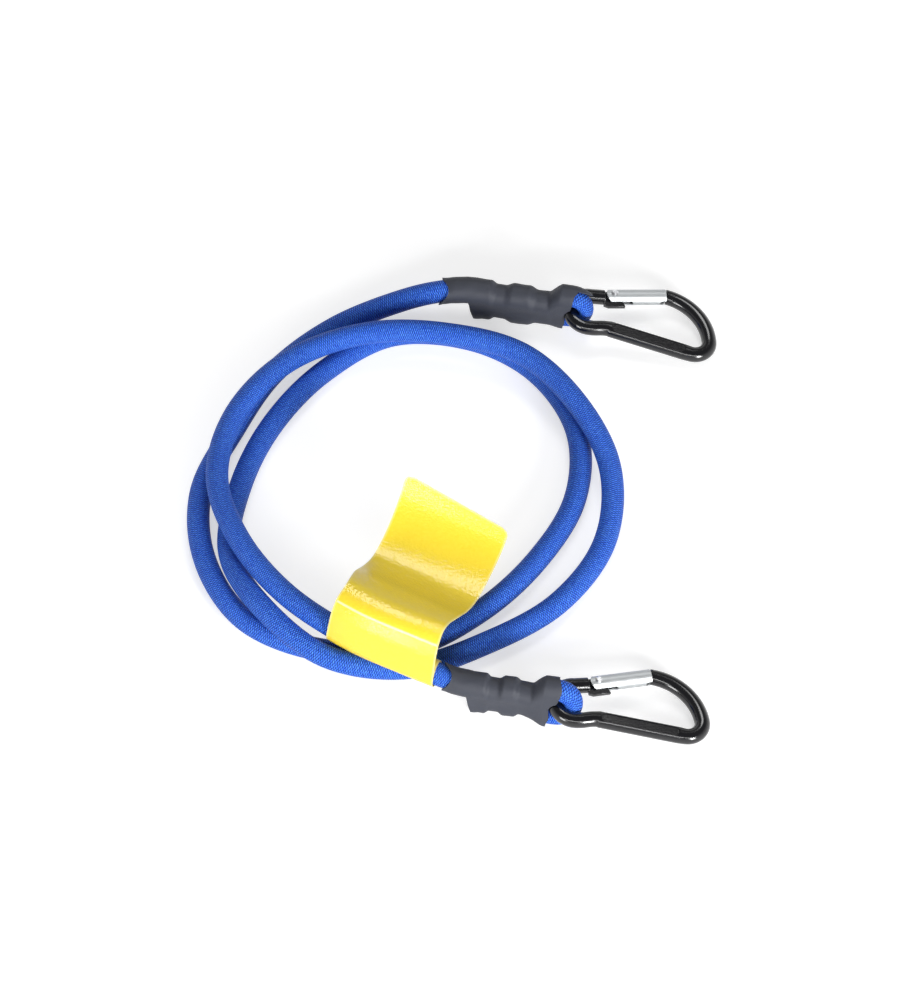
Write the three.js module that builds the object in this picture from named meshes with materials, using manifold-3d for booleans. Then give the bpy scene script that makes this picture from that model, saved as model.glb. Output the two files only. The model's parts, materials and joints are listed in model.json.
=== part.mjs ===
// Elastic luggage cord: a blue braided rubber cord lying in two loose loops, folded back
// at each end round a small snap hook and held there by two crimped bands under a grey
// shrunk sleeve, with a yellow folded film label wrapped round the cord near one end.
// Millimetres, Z up. The origin lies on the ground, midway between the fittings' outer limits.
import * as THREE from "three";
import { mergeVertices } from "three/addons/utils/BufferGeometryUtils.js";
import Module from "manifold-3d";

const wasm = await Module();
wasm.setup();

// Driving sizes of the cord.
const cordDiameter = 10;
const sheathWall = 0.8;
const runningGap = 0.3;
const coilHalfDepth = 100;

// Driving sizes of the fold, the crimped bands and the shrunk sleeve.
const foldedRadius = 4.9;
const bightRadius = 4.2;
const crimpedRadius = 3.4;
const foldGap = 0.5;
const bandWall = 0.7;
const bandWidth = 3.6;
const bandClearance = 0.3;
const eyeBandPlace = 13.5;
const sleeveWall = 0.7;
const farSleeveLength = 58.8;
const nearSleeveLength = 48.7;
const cordInsertion = 6;
const sleeveTipReach = 0.6;
const sleeveCheekSetback = 4;

// Driving sizes of the snap hook, measured on the rod's centre line.
const rodDiameter = 6.8;
const hookReach = 63.9;
const narrowBendRadius = 8.6;
const neckPlaceShare = 0.29;
const neckDrop = 7.3;
const cornerRadius = 7.1;
const cornerDrop = 5.8;
const shoulderRadius = 24.3;
const shoulderStartAngle = 8.8;
const shoulderEndAngle = 84;
const panelHalfWidth = 3.7;
const panelHalfThickness = 2.8;
const tongueThickness = 2;
const hingePlaceShare = 0.294;
const hingeRise = 10.35;

// Driving sizes of the gate and what it holds.
const gateDiameter = 7;
const gateWall = 0.6;
const gateSlotWidth = 2.6;
const gateEndGap = 0.5;
const rivetRadius = 1.1;
const rivetHeadRadius = 1.6;
const rivetHeadHeight = 0.5;
const hingeTongueDepth = 2;
const hingeTongueRadius = 2.4;
const hingeToeShare = 1.9;
const latchPinRadius = 0.8;
const latchPinSetback = 3.6;
const noseTongueLength = 6;
const springWireRadius = 0.28;
const springRadius = 1.85;
const springTurns = 6;
const springSeatSetback = 8;
const springSeatThickness = 0.8;
const plungerRadius = 2.5;
const plungerNoseShare = 0.7;
const plungerLengthShare = 0.32;
const plungerStemRadius = 1.2;
const plungerStemShare = 0.23;

// Driving sizes of the label.
const labelThickness = 0.5;
const labelWidth = 49.4;
const labelMouthGap = 3;
const labelSlack = 0.5;
const labelFlagReach = 75;
const labelFlagRise = 20;

// How the two ends lie on the ground: the place of the hook's rod in the fold as shares of
// the coil's half depth, the fold's heading, the hook's own heading seen from above, and
// how far the cord wanders sideways and down from the fold to the sleeve's mouth.
const farEnd = {
  prefix: "far",
  placeShares: [0.539, 0.957],
  heading: -10,
  hookHeading: -6.1,
  sleeveLength: farSleeveLength,
  swayShare: -0.15,
  dropShare: 0.22,
};
const nearEnd = {
  prefix: "near",
  placeShares: [0.449, -1.131],
  heading: -9,
  hookHeading: 1.1,
  sleeveLength: nearSleeveLength,
  swayShare: 0.19,
  dropShare: -0.06,
};

// The cord's own route on the ground from the far sleeve to the near one: across and back
// as shares of the coil's half depth, height as a share of the cord's diameter.
const routeShares = [
  [-0.185, 1.03, 1.05],
  [-0.506, 0.895, 0.75],
  [-0.78, 0.66, 0.55],
  [-0.96, 0.34, 0.5],
  [-1.095, 0, 0.5],
  [-1.065, -0.365, 0.5],
  [-0.88, -0.675, 0.5],
  [-0.55, -0.825, 0.5],
  [-0.18, -0.81, 0.5],
  [0.13, -0.625, 0.5],
  [0.38, -0.355, 0.5],
  [0.55, -0.025, 0.5],
  [0.56, 0.34, 0.5],
  [0.387, 0.656, 0.5],
  [0.11, 0.835, 0.5],
  [-0.255, 0.865, 0.5],
  [-0.56, 0.665, 0.5],
  [-0.785, 0.375, 0.5],
  [-0.92, 0.035, 0.6],
  [-0.96, -0.345, 0.95],
  [-0.815, -0.665, 1.55],
  [-0.535, -0.91, 1.31],
  [-0.185, -0.928, 0.68],
  [0.17, -0.785, 0.55],
  [0.475, -0.575, 0.5],
  [0.675, -0.27, 0.65],
  [0.705, 0.095, 1],
  [0.572, 0.4, 1.5],
  [0.325, 0.678, 1.6],
  [-0.01, 0.795, 1.55],
  [-0.37, 0.795, 1.6],
  [-0.71, 0.65, 1.55],
  [-0.94, 0.365, 1.6],
  [-1.02, 0.01, 1.75],
  [-0.92, -0.337, 1.98],
  [-0.712, -0.634, 2.06],
  [-0.42, -0.866, 2.1],
  [-0.195, -0.975, 1.95],
];

// Numbers of sides and steps.
const cordSides = 8;
const cordSteps = 76;
const rodSides = 12;
const rodSteps = 42;
const bightSteps = 9;
const roundSides = 12;
const gateSides = 24;
const springSides = 5;
const springStepsPerTurn = 8;
const labelSteps = 6;

// Worked out from the driving sizes.
const cordRadius = cordDiameter / 2;
const rodRadius = rodDiameter / 2;
const gateRadius = gateDiameter / 2;
const coreInset = sheathWall + runningGap;
const bendRadius = rodRadius + runningGap + bightRadius;
const mainRise = 2 * foldedRadius + foldGap - bendRadius;
const foldMiddle = (mainRise - bendRadius) / 2;
const crimpHalfPitch = crimpedRadius + foldGap / 2;
const bandInnerRadius = crimpedRadius + bandClearance;
const bandOuterRadius = bandInnerRadius + bandWall;
const sectionTurn = Math.PI / roundSides;
const rodHeight =
  bendRadius + (foldedRadius + runningGap + sleeveWall) * Math.cos(sectionTurn);

// Finishes.
const finishes = {
  braid: { color: 0x3963b9, roughness: 0.75, metalness: 0 },
  rubber: { color: 0xd8cfb8, roughness: 0.9, metalness: 0 },
  film: { color: 0xf7e350, roughness: 0.3, metalness: 0 },
  sleeve: { color: 0x3d404b, roughness: 0.6, metalness: 0 },
  band: { color: 0x9a9da0, roughness: 0.4, metalness: 1 },
  hook: { color: 0x0c0c0e, roughness: 0.2, metalness: 0.6 },
  gate: { color: 0xd7dde0, roughness: 0.3, metalness: 1 },
  steel: { color: 0xb4b8bc, roughness: 0.35, metalness: 1 },
};

function piece(name, geometry, finish) {
  const mesh = new THREE.Mesh(geometry, new THREE.MeshStandardMaterial(finishes[finish]));
  mesh.name = name;
  return mesh;
}

// A closed body made of triangles given one after another.
class Body {
  constructor() {
    this.corners = [];
  }
  triangle(a, b, c) {
    for (const p of [a, b, c]) this.corners.push(p.x, p.y, p.z);
  }
  // The wall between two rings that run anticlockwise about the way from low to high.
  wall(low, high) {
    low.forEach((point, i) => {
      const next = (i + 1) % low.length;
      this.triangle(point, low[next], high[i]);
      this.triangle(low[next], high[next], high[i]);
    });
  }
  skin(rings) {
    for (let i = 1; i < rings.length; i++) this.wall(rings[i - 1], rings[i]);
  }
  cap(ring) {
    for (let i = 2; i < ring.length; i++) this.triangle(ring[0], ring[i - 1], ring[i]);
  }
  geometry() {
    const made = new THREE.BufferGeometry();
    made.setAttribute("position", new THREE.Float32BufferAttribute(this.corners, 3));
    return made;
  }
}

// A solid bar through rings, or a hollow one where inner rings are given too.
function loft(outer, inner) {
  const body = new Body();
  body.skin(outer);
  if (inner) {
    body.skin([...inner].reverse());
    body.wall(inner[0], outer[0]);
    body.wall(outer[outer.length - 1], inner[inner.length - 1]);
  } else {
    body.cap([...outer[0]].reverse());
    body.cap(outer[outer.length - 1]);
  }
  return body.geometry();
}

// Round rings of many sides along points, each square to the way given or found there.
function ringsAlong(points, radii, sides, sideAt, ways = []) {
  const last = points.length - 1;
  return points.map((centre, i) => {
    const before = points[Math.max(i - 1, 0)];
    const after = points[Math.min(i + 1, last)];
    const way = ways[i] ?? new THREE.Vector3().subVectors(after, before).normalize();
    const side = sideAt(way);
    const top = new THREE.Vector3().crossVectors(way, side);
    return Array.from({ length: sides }, (_, k) => {
      const angle = ((2 * k + 1) * Math.PI) / sides;
      return centre
        .clone()
        .addScaledVector(side, radii[i] * Math.cos(angle))
        .addScaledVector(top, radii[i] * Math.sin(angle));
    });
  });
}

const up = new THREE.Vector3(0, 0, 1);
const levelSide = (way) => new THREE.Vector3().crossVectors(up, way).normalize();
const foldSide = (way) => {
  const side = new THREE.Vector3(0, 1, 0);
  return side.addScaledVector(way, -side.dot(way)).normalize();
};

// Booleans.
function solidOf(geometry) {
  const plain = geometry.clone();
  plain.deleteAttribute("normal");
  plain.deleteAttribute("uv");
  const merged = mergeVertices(plain);
  return new wasm.Manifold(
    new wasm.Mesh({
      numProp: 3,
      vertProperties: merged.attributes.position.array,
      triVerts: new Uint32Array(merged.index.array),
    }),
  );
}

function geometryOf(solid) {
  const mesh = solid.getMesh();
  const made = new THREE.BufferGeometry();
  made.setAttribute("position", new THREE.BufferAttribute(mesh.vertProperties, 3));
  made.setIndex(new THREE.BufferAttribute(mesh.triVerts, 1));
  return made;
}

// A flat plate cut to an outline, centred on the hook's middle plane.
function plate(outline, thickness) {
  const geometry = new THREE.ExtrudeGeometry(new THREE.Shape(outline), {
    depth: thickness,
    bevelEnabled: false,
  });
  return geometry.translate(0, 0, -thickness / 2);
}

function rectangle(left, low, right, high) {
  return [
    new THREE.Vector2(left, low),
    new THREE.Vector2(right, low),
    new THREE.Vector2(right, high),
    new THREE.Vector2(left, high),
  ];
}

// A round pin square to the hook's plane.
function crossPin(radius, length, x, y) {
  const geometry = new THREE.CylinderGeometry(radius, radius, length, roundSides);
  return geometry.rotateX(Math.PI / 2).translate(x, y, 0);
}

// The leg of the cord from the fold towards the sleeve's mouth, in the fold's own frame:
// the rod's centre is the origin, the hook lies along +X and Z is up.
function legPoint(end, x) {
  const bendShare = 0.7;
  const straight = bendShare * end.sleeveLength;
  const share = Math.max(0, (-x - straight) / (end.sleeveLength - straight));
  const y = end.swayShare * cordDiameter * share * share;
  const z = mainRise - end.dropShare * cordDiameter * share * share;
  return new THREE.Vector3(x, y, z);
}

function legWay(end, x) {
  const step = 0.01 * cordDiameter;
  return legPoint(end, x + step).sub(legPoint(end, x - step)).normalize();
}

// Where the two crimped bands grip, from the fold.
function bandPlaces(end) {
  const mouthBandShare = 0.535;
  return [-mouthBandShare * end.sleeveLength, -eyeBandPlace];
}

// The folded end of the cord: main leg, round the hook's rod, and back as the cut tail.
function foldPath(end) {
  const length = end.sleeveLength;
  const bulgeShares = [0.43, 0.34];
  const mouthBulgeShares = [0.775, 0.715, 0.61];
  const tailShares = [0.61, 0.7];
  const riseShares = [
    [-1.2, 0.24, 0.86],
    [-0.9, 0.55, 0.93],
    [-0.56, 0.86, 0.98],
  ];
  const returnShares = [
    [-0.5, -1, 0.98],
    [-1, -0.93, 0.91],
  ];
  const [mouthBand, eyeBand] = bandPlaces(end);
  const grip = bandWidth / 2 + bandClearance;
  const crimpTop = foldMiddle + crimpHalfPitch;
  const crimpLow = foldMiddle - crimpHalfPitch;
  const stations = [];
  let way;
  const add = (x, y, z, radius) =>
    stations.push({ point: new THREE.Vector3(x, y, z), radius, way });
  const start = legPoint(end, -length + cordInsertion + runningGap);
  way = legWay(end, start.x);
  add(start.x, start.y, start.z, cordRadius);
  for (const share of mouthBulgeShares) {
    const at = legPoint(end, -share * length);
    way = legWay(end, at.x);
    add(at.x, at.y, at.z, foldedRadius);
  }
  way = new THREE.Vector3(1, 0, 0);
  for (const x of [mouthBand - grip, mouthBand + grip]) add(x, 0, crimpTop, crimpedRadius);
  for (const share of bulgeShares) add(-share * length, 0, mainRise, foldedRadius);
  for (const x of [eyeBand - grip, eyeBand + grip]) add(x, 0, crimpTop, crimpedRadius);
  way = undefined;
  for (const [x, z, share] of riseShares) {
    add(x * bendRadius, 0, z * bendRadius, share * bightRadius);
  }
  const firstAngle = 105;
  const lastAngle = -90;
  for (let i = 0; i <= bightSteps; i++) {
    const turn = firstAngle + ((lastAngle - firstAngle) * i) / bightSteps;
    const angle = THREE.MathUtils.degToRad(turn);
    add(bendRadius * Math.cos(angle), 0, bendRadius * Math.sin(angle), bightRadius);
  }
  for (const [x, z, share] of returnShares) {
    add(x * bendRadius, 0, z * bendRadius, share * bightRadius);
  }
  way = new THREE.Vector3(-1, 0, 0);
  for (const x of [eyeBand + grip, eyeBand - grip]) add(x, 0, crimpLow, crimpedRadius);
  for (const share of [...bulgeShares].reverse()) {
    add(-share * length, 0, -bendRadius, foldedRadius);
  }
  for (const x of [mouthBand + grip, mouthBand - grip]) add(x, 0, crimpLow, crimpedRadius);
  for (const share of tailShares) add(-share * length, 0, -bendRadius, foldedRadius);
  return stations;
}

function foldBody(end, outerInset, innerInset) {
  const stations = foldPath(end);
  const rings = (inset) =>
    ringsAlong(
      stations.map((station) => station.point),
      stations.map((station) => station.radius - inset),
      cordSides,
      foldSide,
      stations.map((station) => station.way),
    );
  return loft(rings(outerInset), innerInset === undefined ? undefined : rings(innerInset));
}

// A section across both legs: the upper round, a waist each side, and the lower round.
function legSection({ x, y, top, low, topRadius, lowRadius, waistShare, cut }, offset) {
  const half = roundSides / 2;
  const ring = [];
  const across = (angle, height, radius, place) => {
    const side = y + radius * Math.cos(angle);
    ring.push(new THREE.Vector3(place, side, height + radius * Math.sin(angle)));
  };
  for (let k = 0; k < half; k++) {
    const angle = (2 * k + 1) * sectionTurn;
    const fromCrown = Math.abs(k - (half - 1) / 2);
    across(angle, top, topRadius + offset, cut ? cut(fromCrown) : x);
  }
  const middle = (top + low) / 2;
  const waist = waistShare * Math.min(topRadius, lowRadius) + offset;
  ring.push(new THREE.Vector3(x, y - waist, middle));
  for (let k = half; k < roundSides; k++) {
    across((2 * k + 1) * sectionTurn, low, lowRadius + offset, x);
  }
  ring.push(new THREE.Vector3(x, y + waist, middle));
  return ring;
}

// The shrunk sleeve over cord, bands and fold, with an open mouth at each end.
function sleeveBody(end) {
  const length = end.sleeveLength;
  const singleShares = [1, 0.87, 0.775];
  const mouthFlareShare = 1.05;
  const doubleShares = [0.715, 0.61];
  const bulgeShares = [0.43, 0.34];
  const [mouthBand, eyeBand] = bandPlaces(end);
  const grip = bandWidth / 2 + bandClearance;
  const crimpTop = foldMiddle + crimpHalfPitch;
  const crimpLow = foldMiddle - crimpHalfPitch;
  const bulgeWaistShare = 0.86;
  const sections = [];
  const add = (x, y, top, low, topRadius, lowRadius, waistShare, cut) =>
    sections.push({ x, y, top, low, topRadius, lowRadius, waistShare, cut });
  const both = (x, radius, top, low, waistShare) =>
    add(x, 0, top, low, radius, radius, waistShare);
  for (const share of singleShares) {
    const at = legPoint(end, -share * length);
    const radius = share === 1 ? mouthFlareShare * cordRadius : cordRadius;
    add(at.x, at.y, at.z, at.z, radius, radius, 1);
  }
  const stepShare = 0.745;
  const stepTailShare = 0.5;
  const at = legPoint(end, -stepShare * length);
  add(at.x, at.y, at.z, -stepTailShare * bendRadius, cordRadius, foldedRadius, 1);
  for (const share of doubleShares) {
    both(-share * length, foldedRadius, mainRise, -bendRadius, bulgeWaistShare);
  }
  for (const x of [mouthBand - grip, mouthBand + grip]) {
    both(x, bandOuterRadius, crimpTop, crimpLow, 1);
  }
  for (const share of bulgeShares) {
    both(-share * length, foldedRadius, mainRise, -bendRadius, bulgeWaistShare);
  }
  for (const x of [eyeBand - grip, eyeBand + grip]) {
    both(x, bandOuterRadius, crimpTop, crimpLow, 1);
  }
  // The flare over the eye: place, height of the upper round and both radii, as shares.
  const flareShares = [
    [-1.08, 0.52, 1.0, -0.93, 0.95],
    [-0.66, 0.92, 1.05, -0.99, 1],
  ];
  for (const [x, top, topRadius, low, lowRadius] of flareShares) {
    add(
      x * bendRadius,
      0,
      top * bendRadius,
      low * bendRadius,
      topRadius * bightRadius,
      lowRadius * bightRadius,
      1,
    );
  }
  const tipShares = [1, 0.7, 0.3];
  const cut = (fromCrown) => {
    const share = tipShares[Math.round(fromCrown - 1 / 2)];
    return -sleeveCheekSetback + share * (sleeveCheekSetback + sleeveTipReach);
  };
  const tipRadiusShare = 1.08;
  add(
    -sleeveCheekSetback,
    0,
    bendRadius,
    -bendRadius,
    tipRadiusShare * bightRadius,
    bightRadius,
    1,
    cut,
  );
  const inner = sections.map((section) => legSection(section, runningGap));
  const outer = sections.map((section) => legSection(section, runningGap + sleeveWall));
  return loft(outer, inner);
}

// A crimped band round both legs.
function bandBody(place) {
  const section = (x, offset) => {
    const ring = [];
    for (let k = 0; k < roundSides; k++) {
      const angle = (2 * k + 1) * sectionTurn;
      const height = foldMiddle + (k < roundSides / 2 ? crimpHalfPitch : -crimpHalfPitch);
      const radius = crimpedRadius + offset;
      const side = radius * Math.cos(angle);
      ring.push(new THREE.Vector3(x, side, height + radius * Math.sin(angle)));
    }
    return ring;
  };
  const ends = [place - bandWidth / 2, place + bandWidth / 2];
  return loft(
    ends.map((x) => section(x, bandClearance + bandWall)),
    ends.map((x) => section(x, bandClearance)),
  );
}

// The hook in its own frame: the narrow bend's tip is the origin, X runs to the wide end,
// Y to the gate, and Z square to the hook's plane.
const hingePoint = new THREE.Vector2(hingePlaceShare * hookReach, hingeRise);
const cornerCentre = new THREE.Vector2(hookReach - cornerRadius, -cornerDrop);
const shoulderStart = THREE.MathUtils.degToRad(shoulderStartAngle);
const shoulderEnd = THREE.MathUtils.degToRad(shoulderEndAngle);
const shoulderCentre = new THREE.Vector2(
  cornerCentre.x + (cornerRadius - shoulderRadius) * Math.cos(shoulderStart),
  cornerCentre.y + (cornerRadius - shoulderRadius) * Math.sin(shoulderStart),
);
const nosePoint = new THREE.Vector2(
  shoulderCentre.x + shoulderRadius * Math.cos(shoulderEnd),
  shoulderCentre.y + shoulderRadius * Math.sin(shoulderEnd),
);
const gateAngle = Math.atan2(nosePoint.y - hingePoint.y, nosePoint.x - hingePoint.x);
const gateWay = new THREE.Vector2(Math.cos(gateAngle), Math.sin(gateAngle));
const noseDistance = nosePoint.distanceTo(hingePoint);
const gateLength = noseDistance - gateEndGap;
const gateHeelRadius = gateRadius + gateEndGap / 5;
const heelFaceDistance = gateHeelRadius + gateEndGap;
const heelPoint = hingePoint.clone().addScaledVector(gateWay, -heelFaceDistance);

function rodPath() {
  const neck = new THREE.Vector2(neckPlaceShare * hookReach, -neckDrop);
  const reach = neck.distanceTo(cornerCentre);
  const sight = Math.atan2(cornerCentre.y - neck.y, cornerCentre.x - neck.x);
  const spineAngle = sight - Math.asin(cornerRadius / reach);
  const touchAngle = spineAngle - Math.PI / 2;
  const path = new THREE.Path();
  const easeShare = 0.45;
  path.moveTo(heelPoint.x, heelPoint.y);
  path.lineTo(narrowBendRadius, narrowBendRadius);
  path.absarc(narrowBendRadius, 0, narrowBendRadius, Math.PI / 2, -Math.PI / 2, false);
  path.bezierCurveTo(
    narrowBendRadius + easeShare * (neck.x - narrowBendRadius),
    -narrowBendRadius,
    neck.x - easeShare * (neck.x - narrowBendRadius),
    neck.y,
    neck.x,
    neck.y,
  );
  path.lineTo(
    cornerCentre.x + cornerRadius * Math.cos(touchAngle),
    cornerCentre.y + cornerRadius * Math.sin(touchAngle),
  );
  path.absarc(cornerCentre.x, cornerCentre.y, cornerRadius, touchAngle, shoulderStart, false);
  path.absarc(
    shoulderCentre.x,
    shoulderCentre.y,
    shoulderRadius,
    shoulderStart,
    shoulderEnd,
    false,
  );
  return { path, spineAngle, neck };
}

// The rod's ring at a point: round, or pressed flat above and below along the spine.
function rodRing(centre, way, pressed) {
  const side = new THREE.Vector3().crossVectors(up, way).normalize();
  const cornerShares = [
    [1, 0.32],
    [0.9, 0.8],
    [0.66, 1],
  ];
  return Array.from({ length: rodSides }, (_, k) => {
    const angle = ((2 * k + 1) * Math.PI) / rodSides;
    const quarter = Math.floor((2 * k) / (rodSides / 2));
    const within = k % cornerShares.length;
    const mirrored = quarter % 2 === 1;
    const [wide, high] = cornerShares[mirrored ? cornerShares.length - 1 - within : within];
    const flatSide = Math.sign(Math.cos(angle)) * wide * panelHalfWidth;
    const flatHeight = Math.sign(Math.sin(angle)) * high * panelHalfThickness;
    const across = THREE.MathUtils.lerp(rodRadius * Math.cos(angle), flatSide, pressed);
    const height = THREE.MathUtils.lerp(rodRadius * Math.sin(angle), flatHeight, pressed);
    return centre.clone().addScaledVector(side, across).addScaledVector(up, height);
  });
}

function hookRod() {
  const { path, neck } = rodPath();
  const points = path.getSpacedPoints(rodSteps).map((p) => new THREE.Vector3(p.x, p.y, 0));
  const panelEnd = cornerCentre.x - cornerRadius / 2;
  const rings = points.map((centre, i) => {
    const before = points[Math.max(i - 1, 0)];
    const after = points[Math.min(i + 1, points.length - 1)];
    let way = new THREE.Vector3().subVectors(after, before).normalize();
    if (i === 0) way = new THREE.Vector3(-gateWay.x, -gateWay.y, 0);
    if (i === points.length - 1) way = new THREE.Vector3(-gateWay.x, -gateWay.y, 0);
    const onSpine = centre.y < 0 && centre.x > neck.x && centre.x < panelEnd;
    return rodRing(centre, way, onSpine ? 1 : 0);
  });
  return loft(rings);
}

// Turns an outline drawn along the gate, from the hinge, into the hook's frame.
function alongGate(outline) {
  return outline.map((p) => p.clone().rotateAround(new THREE.Vector2(), gateAngle).add(hingePoint));
}

function hingeTongueOutline() {
  const rootOverlap = 1;
  const left = -heelFaceDistance - rootOverlap;
  const low = -gateRadius - hingeTongueDepth;
  const outline = [
    new THREE.Vector2(left, low + hingeTongueDepth / 2),
    new THREE.Vector2(left + heelFaceDistance / 2, low),
    new THREE.Vector2(hingeToeShare * hingeTongueRadius, low),
  ];
  const arcSteps = 6;
  for (let i = 0; i <= arcSteps; i++) {
    const angle = (i * Math.PI) / 2 / arcSteps;
    outline.push(
      new THREE.Vector2(hingeTongueRadius * Math.cos(angle), hingeTongueRadius * Math.sin(angle)),
    );
  }
  outline.push(new THREE.Vector2(left, hingeTongueRadius));
  return alongGate(outline);
}

const latchPlace = gateLength - latchPinSetback;
const latchNotchHalf = latchPinRadius + runningGap;
const noseHalfHeight = gateRadius - gateWall - gateEndGap;

function hookBody() {
  const rootOverlap = 1;
  const overrun = 1;
  const nose = rectangle(
    noseDistance - noseTongueLength,
    -noseHalfHeight,
    noseDistance + rootOverlap,
    noseHalfHeight,
  );
  const notch = rectangle(
    latchPlace - latchNotchHalf,
    -noseHalfHeight - overrun,
    latchPlace + latchNotchHalf,
    latchNotchHalf,
  );
  const through = tongueThickness + overrun;
  const bore = rivetRadius + runningGap;
  return geometryOf(
    solidOf(hookRod())
      .add(solidOf(plate(hingeTongueOutline(), tongueThickness)))
      .add(solidOf(plate(alongGate(nose), tongueThickness)))
      .subtract(solidOf(plate(alongGate(notch), through)))
      .subtract(solidOf(crossPin(bore, through, hingePoint.x, hingePoint.y))),
  );
}

// The gate, drawn along X from its hinge: a folded tube, open along its inner side, with a
// round heel, a slot for the nose's tongue and an inner stop for the spring.
function gateTube() {
  const slotHalf = gateSlotWidth / 2;
  const outerSlot = Math.asin(slotHalf / gateRadius);
  const bore = gateRadius - gateWall;
  const innerSlot = Math.asin(slotHalf / bore);
  const outline = [];
  const arc = (radius, from, to) => {
    for (let i = 0; i <= gateSides; i++) {
      const angle = from + ((to - from) * i) / gateSides;
      outline.push(new THREE.Vector2(radius * Math.cos(angle), radius * Math.sin(angle)));
    }
  };
  const low = -Math.PI / 2;
  arc(gateRadius, low + outerSlot, low + 2 * Math.PI - outerSlot);
  arc(bore, low + 2 * Math.PI - innerSlot, low + innerSlot);
  const geometry = new THREE.ExtrudeGeometry(new THREE.Shape(outline), {
    depth: gateLength + gateHeelRadius,
    bevelEnabled: false,
  });
  geometry.rotateY(Math.PI / 2);
  return geometry.translate(-gateHeelRadius, 0, 0);
}

function gateBody() {
  const overrun = 1;
  const across = gateDiameter + overrun;
  const high = gateRadius + overrun;
  const heel = [new THREE.Vector2(gateLength, high), new THREE.Vector2(0, high)];
  for (let i = 0; i <= gateSides; i++) {
    const angle = Math.PI / 2 + (i * Math.PI) / gateSides;
    heel.push(
      new THREE.Vector2(gateHeelRadius * Math.cos(angle), gateHeelRadius * Math.sin(angle)),
    );
  }
  heel.push(new THREE.Vector2(0, -high), new THREE.Vector2(gateLength, -high));
  const seat = new THREE.CylinderGeometry(
    gateRadius - gateWall / 2,
    gateRadius - gateWall / 2,
    springSeatThickness,
    gateSides,
  );
  seat.rotateZ(Math.PI / 2).translate(seatPlace, 0, 0);
  const mouthOverrun = noseTongueLength + gateEndGap;
  const mouth = rectangle(gateLength - mouthOverrun, 0, gateLength + overrun, high);
  const holes = runningGap;
  return geometryOf(
    solidOf(gateTube())
      .add(solidOf(seat))
      .intersect(solidOf(plate(heel, across)))
      .subtract(solidOf(plate(mouth, gateSlotWidth)))
      .subtract(solidOf(crossPin(rivetRadius + holes, across, 0, 0)))
      .subtract(solidOf(crossPin(latchPinRadius + holes, across, latchPlace, 0))),
  );
}

function rivetBody() {
  const neck = gateRadius + runningGap;
  const crown = neck + rivetHeadHeight;
  const crownShare = 0.6;
  const profile = [
    new THREE.Vector2(0, -crown),
    new THREE.Vector2(crownShare * rivetHeadRadius, -crown),
    new THREE.Vector2(rivetHeadRadius, -neck),
    new THREE.Vector2(rivetRadius, -neck),
    new THREE.Vector2(rivetRadius, neck),
    new THREE.Vector2(rivetHeadRadius, neck),
    new THREE.Vector2(crownShare * rivetHeadRadius, crown),
    new THREE.Vector2(0, crown),
  ];
  const geometry = new THREE.LatheGeometry(profile, roundSides);
  return geometry.rotateX(Math.PI / 2).translate(hingePoint.x, hingePoint.y, 0);
}

// The plunger's face stands clear of the hinge tongue's toe, where the tongue slopes away.
const toeSlope =
  ((hingeToeShare - 1) * hingeTongueRadius) / (gateRadius + hingeTongueDepth);
const plungerNoseRadius = plungerNoseShare * plungerRadius;
const plungerFace = hingeTongueRadius + toeSlope * plungerNoseRadius + runningGap;
const seatPlace = gateLength - springSeatSetback;
const plungerRoom = seatPlace - plungerFace;
const plungerLength = plungerLengthShare * plungerRoom;
const plungerStemLength = plungerStemShare * plungerRoom;
const plungerShoulder = plungerFace + plungerLength;

function plungerBody() {
  const profile = [
    new THREE.Vector2(0, 0),
    new THREE.Vector2(plungerNoseRadius, 0),
    new THREE.Vector2(plungerRadius, plungerRadius - plungerNoseRadius),
    new THREE.Vector2(plungerRadius, plungerLength),
    new THREE.Vector2(plungerStemRadius, plungerLength),
    new THREE.Vector2(plungerStemRadius, plungerLength + plungerStemLength),
    new THREE.Vector2(0, plungerLength + plungerStemLength),
  ];
  const geometry = new THREE.LatheGeometry(profile, roundSides);
  return geometry.rotateZ(-Math.PI / 2).translate(plungerFace, 0, 0);
}

// The coil spring between the plunger's shoulder and the seat in the gate.
const springStart = plungerShoulder + springWireRadius + runningGap;
const springEnd = seatPlace - springSeatThickness / 2 - springWireRadius - runningGap;

function springBody() {
  const steps = springTurns * springStepsPerTurn;
  const points = [];
  for (let i = 0; i <= steps; i++) {
    const share = i / steps;
    const angle = share * springTurns * 2 * Math.PI;
    points.push(
      new THREE.Vector3(
        THREE.MathUtils.lerp(springStart, springEnd, share),
        springRadius * Math.cos(angle),
        springRadius * Math.sin(angle),
      ),
    );
  }
  const along = new THREE.Vector3(1, 0, 0);
  const wireSide = (way) =>
    along.clone().addScaledVector(way, -along.dot(way)).normalize();
  return loft(ringsAlong(points, points.map(() => springWireRadius), springSides, wireSide));
}

function hookGroup(end) {
  const name = (what) => `${end.prefix}_${what}`;
  const hook = new THREE.Group();
  hook.add(piece(name("hook_body"), hookBody(), "hook"));
  hook.add(piece(name("gate_rivet"), rivetBody(), "steel"));
  const gate = new THREE.Group();
  gate.position.set(hingePoint.x, hingePoint.y, 0);
  gate.rotation.z = gateAngle;
  gate.add(piece(name("hook_gate"), gateBody(), "gate"));
  const pinLength = gateDiameter - gateWall;
  gate.add(piece(name("latch_pin"), crossPin(latchPinRadius, pinLength, latchPlace, 0), "steel"));
  gate.add(piece(name("gate_plunger"), plungerBody(), "steel"));
  gate.add(piece(name("gate_spring"), springBody(), "steel"));
  hook.add(gate);
  return hook;
}

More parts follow.
